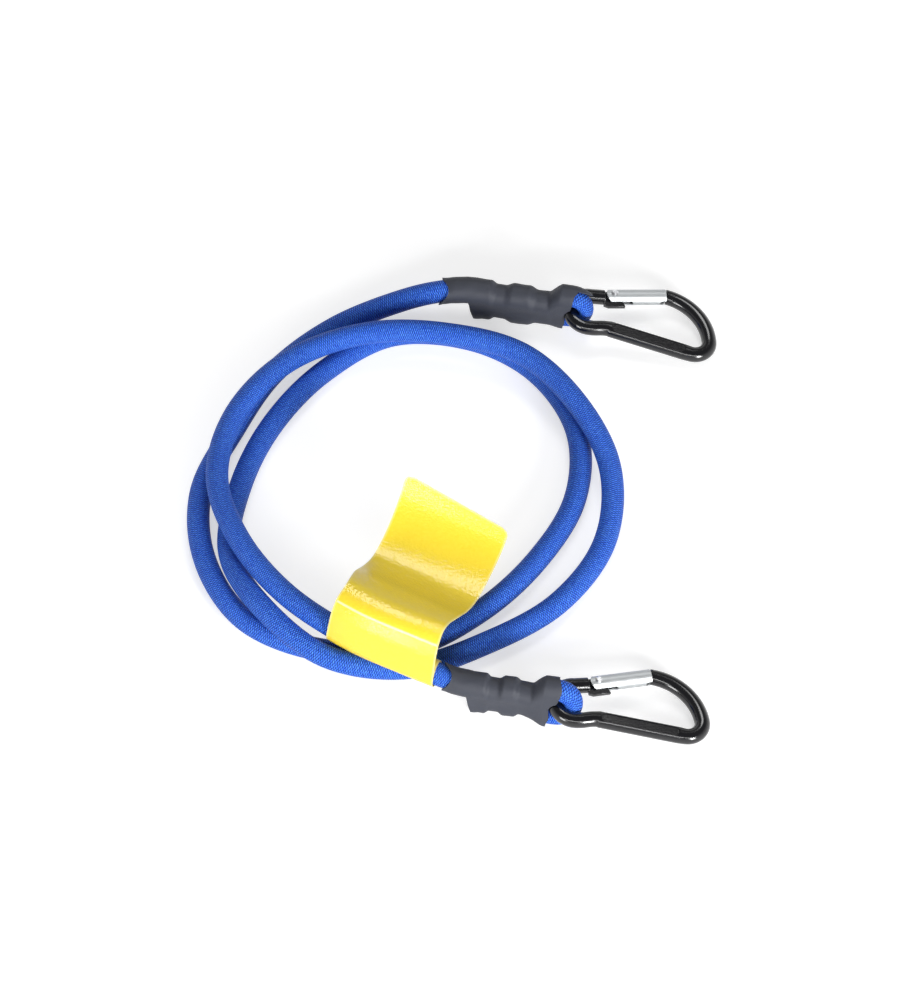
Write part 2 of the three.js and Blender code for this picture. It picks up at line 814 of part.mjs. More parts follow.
// The tilt that lays the hook's wide end on the ground while the rod hangs in the fold.
function hookTilt(yaw) {
  const turn = new THREE.Vector2();
  const centre = new THREE.Vector2(narrowBendRadius, 0);
  const points = rodPath().path.getSpacedPoints(rodSteps);
  const reach = Math.max(...points.map((p) => turn.copy(p).rotateAround(centre, yaw).x));
  const flat = rodRadius * Math.cos(Math.PI / rodSides);
  return Math.asin(rodHeight / Math.hypot(reach, flat)) - Math.atan2(flat, reach);
}

function endGroup(end) {
  const name = (what) => `${end.prefix}_${what}`;
  const group = new THREE.Group();
  const [across, back] = end.placeShares;
  group.position.set(across * coilHalfDepth, back * coilHalfDepth, rodHeight);
  group.rotation.z = THREE.MathUtils.degToRad(end.heading);
  group.add(piece(name("eye_sheath"), foldBody(end, 0, sheathWall), "braid"));
  group.add(piece(name("eye_core"), foldBody(end, coreInset), "rubber"));
  const [mouthBand, eyeBand] = bandPlaces(end);
  group.add(piece(name("mouth_band"), bandBody(mouthBand), "band"));
  group.add(piece(name("eye_band"), bandBody(eyeBand), "band"));
  group.add(piece(name("sleeve"), sleeveBody(end), "sleeve"));

  // The hook hangs on the fold where its narrow bend is square to the cord.
  const yaw = THREE.MathUtils.degToRad(end.hookHeading - end.heading);
  const swing = new THREE.Group();
  swing.rotation.y = hookTilt(yaw);
  const turn = new THREE.Group();
  turn.position.x = narrowBendRadius;
  turn.rotation.z = yaw;
  const hook = hookGroup(end);
  hook.position.x = -narrowBendRadius;
  turn.add(hook);
  swing.add(turn);
  group.add(swing);
  group.updateMatrixWorld(true);
  return group;
}

// The free cord's centre line, from inside one sleeve to inside the other.
function cordCurve(far, near) {
  const inSleeve = (group, end, depth) =>
    legPoint(end, -end.sleeveLength + depth).applyMatrix4(group.matrixWorld);
  const ground = routeShares.map(
    ([across, back, high]) =>
      new THREE.Vector3(across * coilHalfDepth, back * coilHalfDepth, high * cordDiameter),
  );
  const points = [
    inSleeve(far, farEnd, cordInsertion),
    inSleeve(far, farEnd, 0),
    ...ground,
    inSleeve(near, nearEnd, 0),
    inSleeve(near, nearEnd, cordInsertion),
  ];
  return new THREE.CatmullRomCurve3(points, false, "centripetal");
}

function endWay(group, end, sign) {
  const way = legWay(end, -end.sleeveLength + cordInsertion);
  return way.transformDirection(group.matrixWorld).multiplyScalar(sign);
}

// Stations along the free cord, with one at each end of the label and some under it.
function cordStations(curve, firstWay, lastWay) {
  const length = curve.getLength();
  const labelEnd = length - cordInsertion - labelMouthGap;
  const labelStart = labelEnd - labelWidth;
  const places = [0];
  const free = labelStart - cordInsertion;
  for (let i = 0; i < cordSteps; i++) places.push(cordInsertion + (free * i) / cordSteps);
  const labelFirst = places.length;
  for (let i = 0; i <= labelSteps; i++) places.push(labelStart + (labelWidth * i) / labelSteps);
  const labelLast = places.length - 1;
  places.push(length - cordInsertion, length);
  const points = places.map((place) => curve.getPointAt(place / length));
  const ways = points.map(() => undefined);
  ways[0] = firstWay;
  ways[points.length - 1] = lastWay;
  return { points, ways, labelFirst, labelLast };
}

function cordRings(stations, radius, sides) {
  const radii = stations.points.map(() => radius);
  return ringsAlong(stations.points, radii, sides, levelSide, stations.ways);
}

function cordBody(stations, outerInset, innerInset) {
  const rings = (inset) => cordRings(stations, cordRadius - inset, cordSides);
  return loft(rings(outerInset), innerInset === undefined ? undefined : rings(innerInset));
}

// The least gap that the cord keeps to itself, measured on points along its centre line.
function leastGap(curve) {
  const samples = 700;
  const nearby = 3 * cordDiameter;
  const spacing = curve.getLength() / samples;
  const points = curve.getSpacedPoints(samples);
  const skip = Math.ceil(nearby / spacing);
  let least = Infinity;
  for (let i = 0; i < points.length; i++) {
    for (let k = i + skip; k < points.length; k++) {
      least = Math.min(least, points[i].distanceTo(points[k]));
    }
  }
  return least - cordDiameter;
}

// The label: a strip of film round the cord, closed on itself and standing up as a flag
// that leans over the loop. Its line runs across the cord: back and height.
function labelBody(stations) {
  const { labelFirst, labelLast } = stations;
  const bore = cordRadius + labelSlack;
  const wrap = bore + labelThickness;
  const roundShare = Math.cos(sectionTurn);
  const rings = (radius) =>
    cordRings(stations, radius, roundSides).slice(labelFirst, labelLast + 1);
  const ring = loft(rings(wrap / roundShare), rings(bore / roundShare));
  const flagShares = [
    [-0.072, -0.05],
    [-0.072, 0.12],
    [-0.053, 0.35],
    [-0.013, 0.75],
    [0.053, 1],
    [0.16, 1.02],
    [0.293, 0.75],
    [0.427, 0.35],
    [0.533, 0.15],
    [0.667, 0.15],
    [0.8, 0.3],
    [0.907, 0.52],
    [1, 0.85],
  ];
  const wrapMiddle = (bore + wrap) / 2;
  const line = flagShares.map(
    ([back, high]) => new THREE.Vector2(back * labelFlagReach, high * labelFlagRise),
  );
  for (const point of line.slice(0, 2)) point.x = -wrapMiddle;
  const points = stations.points.slice(labelFirst, labelLast + 1);
  const place = (centre, i, across) => {
    const before = stations.points[labelFirst + i - 1];
    const after = stations.points[labelFirst + i + 1];
    const side = levelSide(new THREE.Vector3().subVectors(after, before));
    return centre.clone().addScaledVector(side, across.x).addScaledVector(up, across.y);
  };
  const flag = new Body();
  const sheets = line.map((point, j) => {
    const before = line[Math.max(j - 1, 0)];
    const after = line[Math.min(j + 1, line.length - 1)];
    const way = new THREE.Vector2().subVectors(after, before).normalize();
    const left = new THREE.Vector2(-way.y, way.x).multiplyScalar(labelThickness / 2);
    const front = points.map((centre, i) => place(centre, i, point.clone().add(left)));
    const rear = points.map((centre, i) => place(centre, i, point.clone().sub(left)));
    return [...front, ...rear.reverse()];
  });
  flag.skin(sheets);
  const closeEnd = (sheet, [one, two, three]) => {
    for (let i = 0; i < labelSteps; i++) {
      const opposite = sheet.length - 1 - i;
      const quad = [sheet[i], sheet[i + 1], sheet[opposite - 1], sheet[opposite]];
      flag.triangle(quad[0], quad[one], quad[two]);
      flag.triangle(quad[0], quad[two], quad[three]);
    }
  };
  closeEnd(sheets[0], [3, 2, 1]);
  closeEnd(sheets[sheets.length - 1], [1, 2, 3]);
  return geometryOf(solidOf(ring).add(solidOf(flag.geometry())));
}

const far = endGroup(farEnd);
const near = endGroup(nearEnd);
const curve = cordCurve(far, near);
const curveDivisions = 1000;
curve.arcLengthDivisions = curveDivisions;
const stations = cordStations(curve, endWay(far, farEnd, -1), endWay(near, nearEnd, 1));
console.log(`free cord ${curve.getLength().toFixed(1)} mm`);
console.log(`least gap of the cord to itself ${leastGap(curve).toFixed(2)} mm`);

const exact = true;
const fittings = new THREE.Box3().setFromObject(far, exact);
fittings.union(new THREE.Box3().setFromObject(near, exact));
const middle = fittings.getCenter(new THREE.Vector3());

const bungeeCord = new THREE.Group();
bungeeCord.add(piece("cord_sheath", cordBody(stations, 0, sheathWall), "braid"));
bungeeCord.add(piece("cord_core", cordBody(stations, coreInset), "rubber"));
bungeeCord.add(piece("label", labelBody(stations), "film"));
bungeeCord.add(far, near);
bungeeCord.position.set(-middle.x, -middle.y, -fittings.min.z);

export default bungeeCord;
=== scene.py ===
import bmesh
import bpy
import json
import math
from mathutils import Matrix, Vector, noise


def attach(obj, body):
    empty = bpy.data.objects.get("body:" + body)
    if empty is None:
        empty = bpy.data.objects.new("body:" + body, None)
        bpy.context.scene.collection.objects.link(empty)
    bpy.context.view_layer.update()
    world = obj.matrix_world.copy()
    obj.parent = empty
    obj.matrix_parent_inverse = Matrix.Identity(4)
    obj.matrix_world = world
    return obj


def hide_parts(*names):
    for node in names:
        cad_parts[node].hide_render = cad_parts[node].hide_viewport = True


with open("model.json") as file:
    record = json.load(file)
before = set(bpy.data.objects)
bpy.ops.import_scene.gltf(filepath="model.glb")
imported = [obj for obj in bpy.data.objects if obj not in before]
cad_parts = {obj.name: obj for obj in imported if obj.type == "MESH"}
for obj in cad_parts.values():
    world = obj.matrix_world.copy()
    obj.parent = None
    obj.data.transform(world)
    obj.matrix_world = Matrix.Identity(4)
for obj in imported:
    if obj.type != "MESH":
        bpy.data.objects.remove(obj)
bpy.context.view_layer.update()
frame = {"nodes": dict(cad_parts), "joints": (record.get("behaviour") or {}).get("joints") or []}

nodes = frame["nodes"]
joints = {joint["name"]: joint for joint in frame["joints"]}

# Camera.
# The cord is seen from above its near end, about 55 degrees over the ground, through a long
# lens, with the middle of the loops and the hooks in the middle of the picture.
picture_centre = Vector((-0.05695, 0.00949, 0.00014))
picture_half_height = 0.22
camera_distance = 2.6
camera_rise = math.radians(55)
sensor_width = 36


def put_in_scene(name, data):
    made = bpy.data.objects.new(name, data)
    bpy.context.scene.collection.objects.link(made)
    return made


camera_data = bpy.data.cameras.new("camera")
camera_data.sensor_width = sensor_width
camera_data.lens = sensor_width / 2 / (picture_half_height / camera_distance)
camera_data.clip_start = 0.05
camera_data.clip_end = 20
camera = put_in_scene("camera", camera_data)
camera.location = picture_centre + camera_distance * Vector(
    (0, -math.cos(camera_rise), math.sin(camera_rise))
)
camera.rotation_euler = (math.radians(90) - camera_rise, 0, 0)
bpy.context.scene.camera = camera

# The two folded ends, where the cord goes into its sleeves.
# Each hangs on its hook's rod: the fold's frame has the rod's middle as its origin, X towards
# the hook and Z up, and the cord's leg wanders a little sideways and down to the mouth.
MM = 0.001  # sizes are in millimetres from here on, and headings in degrees
cord_radius = 5.0
cord_insertion = 6.0
main_rise = 2.4
straight_share = 0.7
ends = {
    "far": {"heading": -10.0, "sleeve": 58.8, "sway": -1.5, "drop": 2.2},
    "near": {"heading": -9.0, "sleeve": 48.7, "sway": 1.9, "drop": -0.6},
}
for name, end in ends.items():
    rod_middle = Vector(joints[f"{name}_hook_swing"]["pos_m"])
    turn = Matrix.Rotation(math.radians(end["heading"]), 4, "Z")
    end["frame"] = Matrix.Translation(rod_middle) @ turn @ Matrix.Scale(MM, 4)


def leg_point(end, x):
    """A point on the middle of the cord's long leg, x from the rod, negative to the mouth."""
    straight = straight_share * end["sleeve"]
    share = max(0.0, (-x - straight) / (end["sleeve"] - straight))
    return Vector((x, end["sway"] * share**2, main_rise - end["drop"] * share**2))


# The free cord.
# A round elastic cord with a tight braided sheath of blue polyester yarn, lying in two loose
# loops. It is one smooth curve through these points, in metres, from sleeve to sleeve.
cord_length = 1.3895
cord_step = 2.2
cord_sides = 32
sheath_wall = 0.8
cord_shift = Vector((-0.056951, 0.009493, 0.000142))
cord_route = [
    (-0.0185, 0.103, 0.0105),
    (-0.0506, 0.0895, 0.0075),
    (-0.078, 0.066, 0.0055),
    (-0.096, 0.034, 0.005),
    (-0.1095, 0, 0.005),
    (-0.1065, -0.0365, 0.005),
    (-0.088, -0.0675, 0.005),
    (-0.055, -0.0825, 0.005),
    (-0.018, -0.081, 0.005),
    (0.013, -0.0625, 0.005),
    (0.038, -0.0355, 0.005),
    (0.055, -0.0025, 0.005),
    (0.056, 0.034, 0.005),
    (0.0387, 0.0656, 0.005),
    (0.011, 0.0835, 0.005),
    (-0.0255, 0.0865, 0.005),
    (-0.056, 0.0665, 0.005),
    (-0.0785, 0.0375, 0.005),
    (-0.092, 0.0035, 0.006),
    (-0.096, -0.0345, 0.0095),
    (-0.0815, -0.0665, 0.0155),
    (-0.0535, -0.091, 0.0131),
    (-0.0185, -0.0928, 0.0068),
    (0.017, -0.0785, 0.0055),
    (0.0475, -0.0575, 0.005),
    (0.0675, -0.027, 0.0065),
    (0.0705, 0.0095, 0.01),
    (0.0572, 0.04, 0.015),
    (0.0325, 0.0678, 0.016),
    (-0.001, 0.0795, 0.0155),
    (-0.037, 0.0795, 0.016),
    (-0.071, 0.065, 0.0155),
    (-0.094, 0.0365, 0.016),
    (-0.102, 0.001, 0.0175),
    (-0.092, -0.0337, 0.0198),
    (-0.0712, -0.0634, 0.0206),
    (-0.042, -0.0866, 0.021),
    (-0.0195, -0.0975, 0.0195),
]


def in_sleeve(name, depth):
    """A point on the cord's line, this deep in its sleeve."""
    end = ends[name]
    return end["frame"] @ leg_point(end, -end["sleeve"] + depth)


route_points = [in_sleeve("far", cord_insertion), in_sleeve("far", 0)]
route_points += [Vector(point) + cord_shift for point in cord_route]
route_points += [in_sleeve("near", 0), in_sleeve("near", cord_insertion)]


def smooth_curve(points, steps):
    """Points on the centripetal curve through these points, steps to each span."""
    ghosts = [2 * points[0] - points[1], *points, 2 * points[-1] - points[-2]]
    made = []
    for i in range(1, len(ghosts) - 2):
        p0, p1, p2, p3 = ghosts[i - 1 : i + 3]
        d0, d1, d2 = (
            math.sqrt((b - a).length) for a, b in ((p0, p1), (p1, p2), (p2, p3))
        )
        t1 = ((p1 - p0) / d0 - (p2 - p0) / (d0 + d1) + (p2 - p1) / d1) * d1
        t2 = ((p2 - p1) / d1 - (p3 - p1) / (d1 + d2) + (p3 - p2) / d2) * d1
        for k in range(steps):
            t = k / steps
            made.append(
                p1
                + t1 * t
                + (3 * (p2 - p1) - 2 * t1 - t2) * t**2
                + (2 * (p1 - p2) + t1 + t2) * t**3
            )
    return [*made, points[-1].copy()]


def lengths_along(points):
    """How far along a line each of its points lies."""
    lengths = [0.0]
    for a, b in zip(points, points[1:]):
        lengths.append(lengths[-1] + (b - a).length)
    return lengths


def spaced(points, step):
    """The same line with points an equal step apart."""
    lengths = lengths_along(points)
    count = max(2, round(lengths[-1] / step))
    made, k = [], 0
    for i in range(count + 1):
        place = lengths[-1] * i / count
        while k < len(points) - 2 and lengths[k + 1] < place:
            k += 1
        share = (place - lengths[k]) / max(lengths[k + 1] - lengths[k], 1e-12)
        made.append(points[k].lerp(points[k + 1], min(max(share, 0), 1)))
    return made


def level_side(way):
    """The level direction across another one."""
    return Vector((0, 0, 1)).cross(way).normalized()


def rings_along(points, radii, sides, side_at, ways=None):
    """Rings square to a line, round or, with two radii, oval; ways holds the directions that
    are given and not worked out from the line."""
    made = []
    for i, centre in enumerate(points):
        way = ways[i] if ways and ways[i] else None
        if way is None:
            way = points[min(i + 1, len(points) - 1)] - points[max(i - 1, 0)]
        way = way.normalized()
        side = side_at(way)
        top = way.cross(side)
        wide, thick = radii[i] if isinstance(radii[i], tuple) else (radii[i], radii[i])
        ring = []
        for k in range(sides):
            angle = 2 * math.pi * k / sides
            ring.append(centre + wide * math.cos(angle) * side + thick * math.sin(angle) * top)
        made.append(ring)
    return made


def skin(name, shells, materials, lengths=None, caps=False):
    """One mesh from lofted shells of rings. Each shell is a list of rings; two shells make
    a hollow piece whose ends are joined. UV holds turns round and millimetres along."""
    mesh = bpy.data.meshes.new(name)
    vertices, faces, places = [], [], []
    first = {}
    for s, rings in enumerate(shells):
        first[s] = len(vertices)
        sides = len(rings[0])
        for ring in rings:
            vertices.extend(ring)
        marks = lengths[s] if lengths else range(len(rings))
        for i in range(len(rings) - 1):
            for k in range(sides):
                a = first[s] + i * sides + k
                b = first[s] + i * sides + (k + 1) % sides
                quad = (a, b, b + sides, a + sides)
                uv = [
                    (k / sides, marks[i]),
                    ((k + 1) / sides, marks[i]),
                    ((k + 1) / sides, marks[i + 1]),
                    (k / sides, marks[i + 1]),
                ]
                if s == 1:
                    quad, uv = quad[::-1], uv[::-1]
                faces.append(quad)
                places.append(uv)
    sides = len(shells[0][0])
    if len(shells) == 2:
        for i, flip in ((0, False), (len(shells[0]) - 1, True)):
            inner_row = 0 if i == 0 else len(shells[1]) - 1
            for k in range(sides):
                a = first[0] + i * sides + k
                b = first[0] + i * sides + (k + 1) % sides
                c = first[1] + inner_row * sides + (k + 1) % sides
                d = first[1] + inner_row * sides + k
                quad = (a, d, c, b)
                faces.append(quad[::-1] if flip else quad)
                places.append([(0, 0)] * 4)
    elif caps:
        last = first[0] + (len(shells[0]) - 1) * sides
        faces.append(tuple(range(first[0] + sides - 1, first[0] - 1, -1)))
        places.append([(0, 0)] * sides)
        faces.append(tuple(range(last, last + sides)))
        places.append([(0, 0)] * sides)
    mesh.from_pydata(vertices, [], faces)
    layer = mesh.uv_layers.new(name="wrap")
    for polygon, uv in zip(mesh.polygons, places):
        for loop, place in zip(polygon.loop_indices, uv):
            layer.data[loop].uv = place
    for material in materials:
        mesh.materials.append(material)
    mesh.shade_smooth()
    mesh.set_sharp_from_angle(angle=math.radians(50))
    mesh.update()
    return put_in_scene(name, mesh)


def shader_group(name, inputs, outputs):
    """A node group with these named number, vector or colour sockets."""
    kinds = {
        "number": "NodeSocketFloat",
        "vector": "NodeSocketVector",
        "colour": "NodeSocketColor",
    }
    group = bpy.data.node_groups.new(name, "ShaderNodeTree")
    for way, sockets in (("INPUT", inputs), ("OUTPUT", outputs)):
        for label, kind in sockets:
            group.interface.new_socket(name=label, in_out=way, socket_type=kinds[kind])
    entry = group.nodes.new("NodeGroupInput")
    result = group.nodes.new("NodeGroupOutput")
    return group, entry, result


def wire(tree, source, target):
    tree.links.new(source, target)


def calculate(tree, operation, *values):
    """A Math node on sockets or plain numbers, and its result."""
    node = tree.nodes.new("ShaderNodeMath")
    node.operation = operation
    for slot, value in zip(node.inputs, values):
        if isinstance(value, (int, float)):
            slot.default_value = value
        else:
            wire(tree, value, slot)
    return node.outputs[0]


def blend_colour(tree, share, low, high):
    """A colour mix by a share, between two colours or colour sockets."""
    node = tree.nodes.new("ShaderNodeMix")
    node.data_type = "RGBA"
    wire(tree, share, node.inputs[0])
    for slot, value in ((node.inputs[6], low), (node.inputs[7], high)):
        if isinstance(value, tuple):
            slot.default_value = (*value, 1)
        else:
            wire(tree, value, slot)
    return node.outputs[2]


def span(tree, value, low, high, to_low, to_high):
    node = tree.nodes.new("ShaderNodeMapRange")
    wire(tree, value, node.inputs[0])
    for slot, number in zip(node.inputs[1:5], (low, high, to_low, to_high)):
        slot.default_value = number
    return node.outputs[0]


def finish_material(name, roughness, metallic=0.0, **sockets):
    """A material with a Principled shader whose constant values sit on its own sockets."""
    material = bpy.data.materials.new(name)
    material.use_nodes = True
    shader = material.node_tree.nodes["Principled BSDF"]
    shader.inputs["Roughness"].default_value = roughness
    shader.inputs["Metallic"].default_value = metallic
    for label, value in sockets.items():
        shader.inputs[label.replace("_", " ")].default_value = value
    return material, material.node_tree, shader


def place_on(tree, kind):
    """Where a point lies: Generated is its share of the piece's box, Object is in metres."""
    return tree.nodes.new("ShaderNodeTexCoord").outputs[kind]


def wrap_place(tree):
    """Where a point lies on its piece's own wrap."""
    node = tree.nodes.new("ShaderNodeUVMap")
    node.uv_map = "wrap"
    return node.outputs[0]


def raise_surface(tree, shader, height, strength, distance):
    """A fine relief in a finish; the distance is in metres."""
    relief = tree.nodes.new("ShaderNodeBump")
    relief.inputs["Strength"].default_value = strength
    relief.inputs["Distance"].default_value = distance
    wire(tree, height, relief.inputs["Height"])
    wire(tree, relief.outputs[0], shader.inputs["Normal"])
    return relief.outputs[0]


# The mottling: a cloudy unevenness, as a share from 0 to 1 and as a blend of two colours.
mottling_group, mottling_in, mottling_out = shader_group(
    "mottling",
    [
        ("Place", "vector"),
        ("Scale", "number"),
        ("Detail", "number"),
        ("Low", "colour"),
        ("High", "colour"),
    ],
    [("Share", "number"), ("Colour", "colour")],
)
cloud = mottling_group.nodes.new("ShaderNodeTexNoise")
wire(mottling_group, mottling_in.outputs["Place"], cloud.inputs["Vector"])
for socket in ("Scale", "Detail"):
    wire(mottling_group, mottling_in.outputs[socket], cloud.inputs[socket])
wire(mottling_group, cloud.outputs[0], mottling_out.inputs["Share"])
low_colour, high_colour = mottling_in.outputs["Low"], mottling_in.outputs["High"]
clouded = blend_colour(mottling_group, cloud.outputs[0], low_colour, high_colour)
wire(mottling_group, clouded, mottling_out.inputs["Colour"])


def mottling(tree, scale, detail=2, low=(0, 0, 0), high=(1, 1, 1), place=None):
    """The share and the colour of the mottling at a place, or else in the piece's own box."""
    node = tree.nodes.new("ShaderNodeGroup")
    node.node_tree = mottling_group
    wire(tree, place_on(tree, "Generated") if place is None else place, node.inputs["Place"])
    node.inputs["Scale"].default_value = scale
    node.inputs["Detail"].default_value = detail
    node.inputs["Low"].default_value = (*low, 1)
    node.inputs["High"].default_value = (*high, 1)
    return node.outputs["Share"], node.outputs["Colour"]


def mottle_finish(tree, shader, low, high, scale, detail=2, place=None):
    """A finish mottled between two colours; its share can steer roughness and relief."""
    share, colour = mottling(tree, scale, detail, low, high, place)
    wire(tree, colour, shader.inputs["Base Color"])
    return share


# The braid: yarns wound both ways round the cord, over one and under one. Place is the
# cord's own wrap, turns round and millimetres along.
braid_group, braid_in, braid_out = shader_group(
    "yarn_braid",
    [("Place", "vector"), ("Yarns", "number"), ("Picks per mm", "number")],
    [("Height", "number"), ("Crown", "number"), ("Tone", "number")],
)
threads_in_yarn = 4
split = braid_group.nodes.new("ShaderNodeSeparateXYZ")
wire(braid_group, braid_in.outputs["Place"], split.inputs[0])
turns = calculate(braid_group, "MULTIPLY", split.outputs[0], braid_in.outputs["Yarns"])
picks = calculate(braid_group, "MULTIPLY", split.outputs[1], braid_in.outputs["Picks per mm"])
right_lay = calculate(braid_group, "ADD", turns, picks)
left_lay = calculate(braid_group, "SUBTRACT", turns, picks)
right_share = calculate(braid_group, "FRACT", right_lay)
left_share = calculate(braid_group, "FRACT", left_lay)
right_yarn = calculate(braid_group, "FLOOR", right_lay)
left_yarn = calculate(braid_group, "FLOOR", left_lay)
both_yarns = calculate(braid_group, "ADD", right_yarn, left_yarn)
over = calculate(braid_group, "FLOORED_MODULO", both_yarns, 2.0)


def hump(share):
    """A yarn's round back, from one of its edges to the other."""
    return calculate(braid_group, "SINE", calculate(braid_group, "MULTIPLY", share, math.pi))


def yarn_height(across, along):
    """A yarn's height, which sinks where the next yarn goes over it."""
    rise = calculate(braid_group, "MULTIPLY_ADD", hump(along), 0.45, 0.55)
    return calculate(braid_group, "MULTIPLY", hump(across), rise)


def strands(across):
    """The fine threads that lie side by side in a yarn."""
    waves = calculate(braid_group, "MULTIPLY", across, 2 * math.pi * threads_in_yarn)
    return calculate(braid_group, "SINE", waves)


def either(low, high):
    """The left yarn's value where it lies on top, else the right yarn's."""
    node = braid_group.nodes.new("ShaderNodeMix")
    wire(braid_group, over, node.inputs[0])
    wire(braid_group, low, node.inputs[2])
    wire(braid_group, high, node.inputs[3])
    return node.outputs[0]


yarn = either(yarn_height(left_share, right_share), yarn_height(right_share, left_share))
thread = either(strands(left_share), strands(right_share))
height = calculate(braid_group, "MULTIPLY_ADD", thread, 0.07, yarn)
wire(braid_group, height, braid_out.inputs["Height"])
wire(braid_group, yarn, braid_out.inputs["Crown"])
chance = braid_group.nodes.new("ShaderNodeTexWhiteNoise")
chance.noise_dimensions = "1D"
wire(braid_group, either(left_yarn, right_yarn), chance.inputs["W"])
wire(braid_group, chance.outputs["Value"], braid_out.inputs["Tone"])


# Blue polyester yarn: its own blue on the crowns and a painted shade, deep blue, between the yarns;
# flecks of painted sheen, and a soft sheen of its own.
yarn_bright = (0.08, 0.275, 1.0)
yarn_mid = (0.04, 0.18, 0.92)
yarn_between_sheen = (0.022, 0.12, 0.76)
yarn_groove_shade = (0.001, 0.009, 0.15)
fleck_scale = 1100
braid, tree, shader = finish_material("blue_braid", 0.5, Specular_IOR_Level=0.45)
shader.inputs["Specular Tint"].default_value = (0.55, 0.75, 1, 1)
weave = tree.nodes.new("ShaderNodeGroup")
weave.node_tree = braid_group
wire(tree, wrap_place(tree), weave.inputs["Place"])
weave.inputs["Yarns"].default_value = 12
weave.inputs["Picks per mm"].default_value = 1.0
crown = span(tree, weave.outputs["Crown"], 0.15, 0.85, 0, 1)
tone = span(tree, weave.outputs["Tone"], 0, 1, 0.0, 0.45)
# Painted sheen: flecks where the yarn shows its lit colour, and a duller blue between them.
fleck, _ = mottling(tree, fleck_scale, place=place_on(tree, "Object"))
sheen_flecks = span(tree, fleck, 0.35, 0.6, 0, 1)
lit_yarn = blend_colour(tree, tone, yarn_bright, yarn_mid)
yarn_colour = blend_colour(tree, sheen_flecks, yarn_between_sheen, lit_yarn)
# Painted shade: deep blue where the yarn's crown falls away between the yarns.
wire(tree, blend_colour(tree, crown, yarn_groove_shade, yarn_colour), shader.inputs["Base Color"])
wire(tree, span(tree, weave.outputs["Crown"], 0, 1, 0.75, 0.42), shader.inputs["Roughness"])
raise_surface(tree, shader, weave.outputs["Height"], 1.0, 0.0003)

cord_line = spaced(smooth_curve(route_points, 24), cord_step * MM)
marks = [i * cord_step for i in range(len(cord_line))]


def way_into(name, sign):
    """The cord's direction where it ends inside a sleeve."""
    end = ends[name]
    here = -end["sleeve"] + cord_insertion
    local = leg_point(end, here + 0.1) - leg_point(end, here - 0.1)
    return sign * (end["frame"].to_3x3() @ local).normalized()


cord_ways = [None] * len(cord_line)
cord_ways[0], cord_ways[-1] = way_into("far", -1), way_into("near", 1)
inner_picks = [*range(0, len(cord_line) - 1, 8), len(cord_line) - 1]  # coarser inside
outer_rings, inner_rings = (
    rings_along(cord_line, [radius * MM] * len(cord_line), cord_sides, level_side, cord_ways)
    for radius in (cord_radius, cord_radius - sheath_wall)
)
cord = skin(
    "braided_cord",
    [outer_rings, [inner_rings[i] for i in inner_picks]],
    [braid],
    lengths=[marks, [marks[i] for i in inner_picks]],
)
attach(cord, "cord_and_sleeves")
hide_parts("cord_sheath")

# The label.
# A plain strip of yellow film under clear laminate, wrapped once round the cord and
# pressed to itself as a flag, which rises at the front, rolls over and lies on the loops.
label_width = 49.4
label_mouth_gap = 3.0
label_slack = 0.5
label_thickness = 0.35
label_reach = 73.6
label_rise = 20.0
label_corner = 3.4
label_points = 30
wrap_steps = 40
flag_loosens, loosening_run = 4, 20
tip_twist = 0.19
crease_left = 82.0
label_wrap = cord_radius + label_slack + 0.3
# The flag's side view, in shares of its reach and rise.
flag_line = [
    (-0.072, 0.12),
    (-0.053, 0.35),
    (-0.013, 0.75),
    (0.053, 1),
    (0.16, 1.02),
    (0.293, 0.75),
    (0.427, 0.35),
    (0.533, 0.15),
    (0.667, 0.15),
    (0.8, 0.3),
    (0.907, 0.52),
    (1, 0.85),
]
film, tree, shader = finish_material(
    "yellow_film", 0.42, Coat_Weight=0.8, Coat_Roughness=0.04, Specular_IOR_Level=0.3
)
split = tree.nodes.new("ShaderNodeSeparateXYZ")
wire(tree, wrap_place(tree), split.inputs[0])
from_edge, from_tip = split.outputs[0], split.outputs[1]
_, dye_and_glint = mottling(tree, 45, low=(0.82, 0.6, 0.018), high=(0.87, 0.67, 0.042))
# Past the crease the film takes one even yellow, without the mottled print.
below = span(tree, from_tip, crease_left, crease_left + 0.5, 0, 1)
dye_and_glint = blend_colour(tree, below, dye_and_glint, (0.86, 0.645, 0.035))
# Painted glint: a pale line along the crease, over the yellow print.
off_crease = calculate(tree, "ABSOLUTE", calculate(tree, "SUBTRACT", from_tip, crease_left))
dye_and_glint = blend_colour(tree, span(tree, off_crease, 0.2, 0.7, 0, 1), (0.93, 0.84, 0.42), dye_and_glint)
margin = span(tree, from_edge, 0.4, 1.0, 0, 1)
wire(tree, blend_colour(tree, margin, (0.85, 0.71, 0.22), dye_and_glint), shader.inputs["Base Color"])
ripple, _ = mottling(tree, 60, 3)
rippled = raise_surface(tree, shader, ripple, 0.2, 0.0012)
wire(tree, rippled, shader.inputs["Coat Normal"])


def on_cord(distance):
    """The cord's centre this far along it, in metres, and the level way across it there."""
    place = distance / cord_length * (len(cord_line) - 1)
    k = min(max(int(place), 1), len(cord_line) - 3)
    centre = cord_line[k].lerp(cord_line[k + 1], place - k)
    return centre, level_side(cord_line[k + 2] - cord_line[k - 1])


def ramp(value, start, run):
    """The share, from 0 to 1, that a value has gone of a run from its start."""
    return min(1.0, max(0.0, (value - start) / run))


def gently(share):
    """The same share with a gentle start and end."""
    return share * share * (3 - 2 * share)


def flat_lengths(outline):
    """How far round a flat outline of pairs each of its points lies."""
    lengths = [0.0]
    for (a, b), (c, d) in zip(outline, outline[1:]):
        lengths.append(lengths[-1] + math.hypot(c - a, d - b))
    return lengths


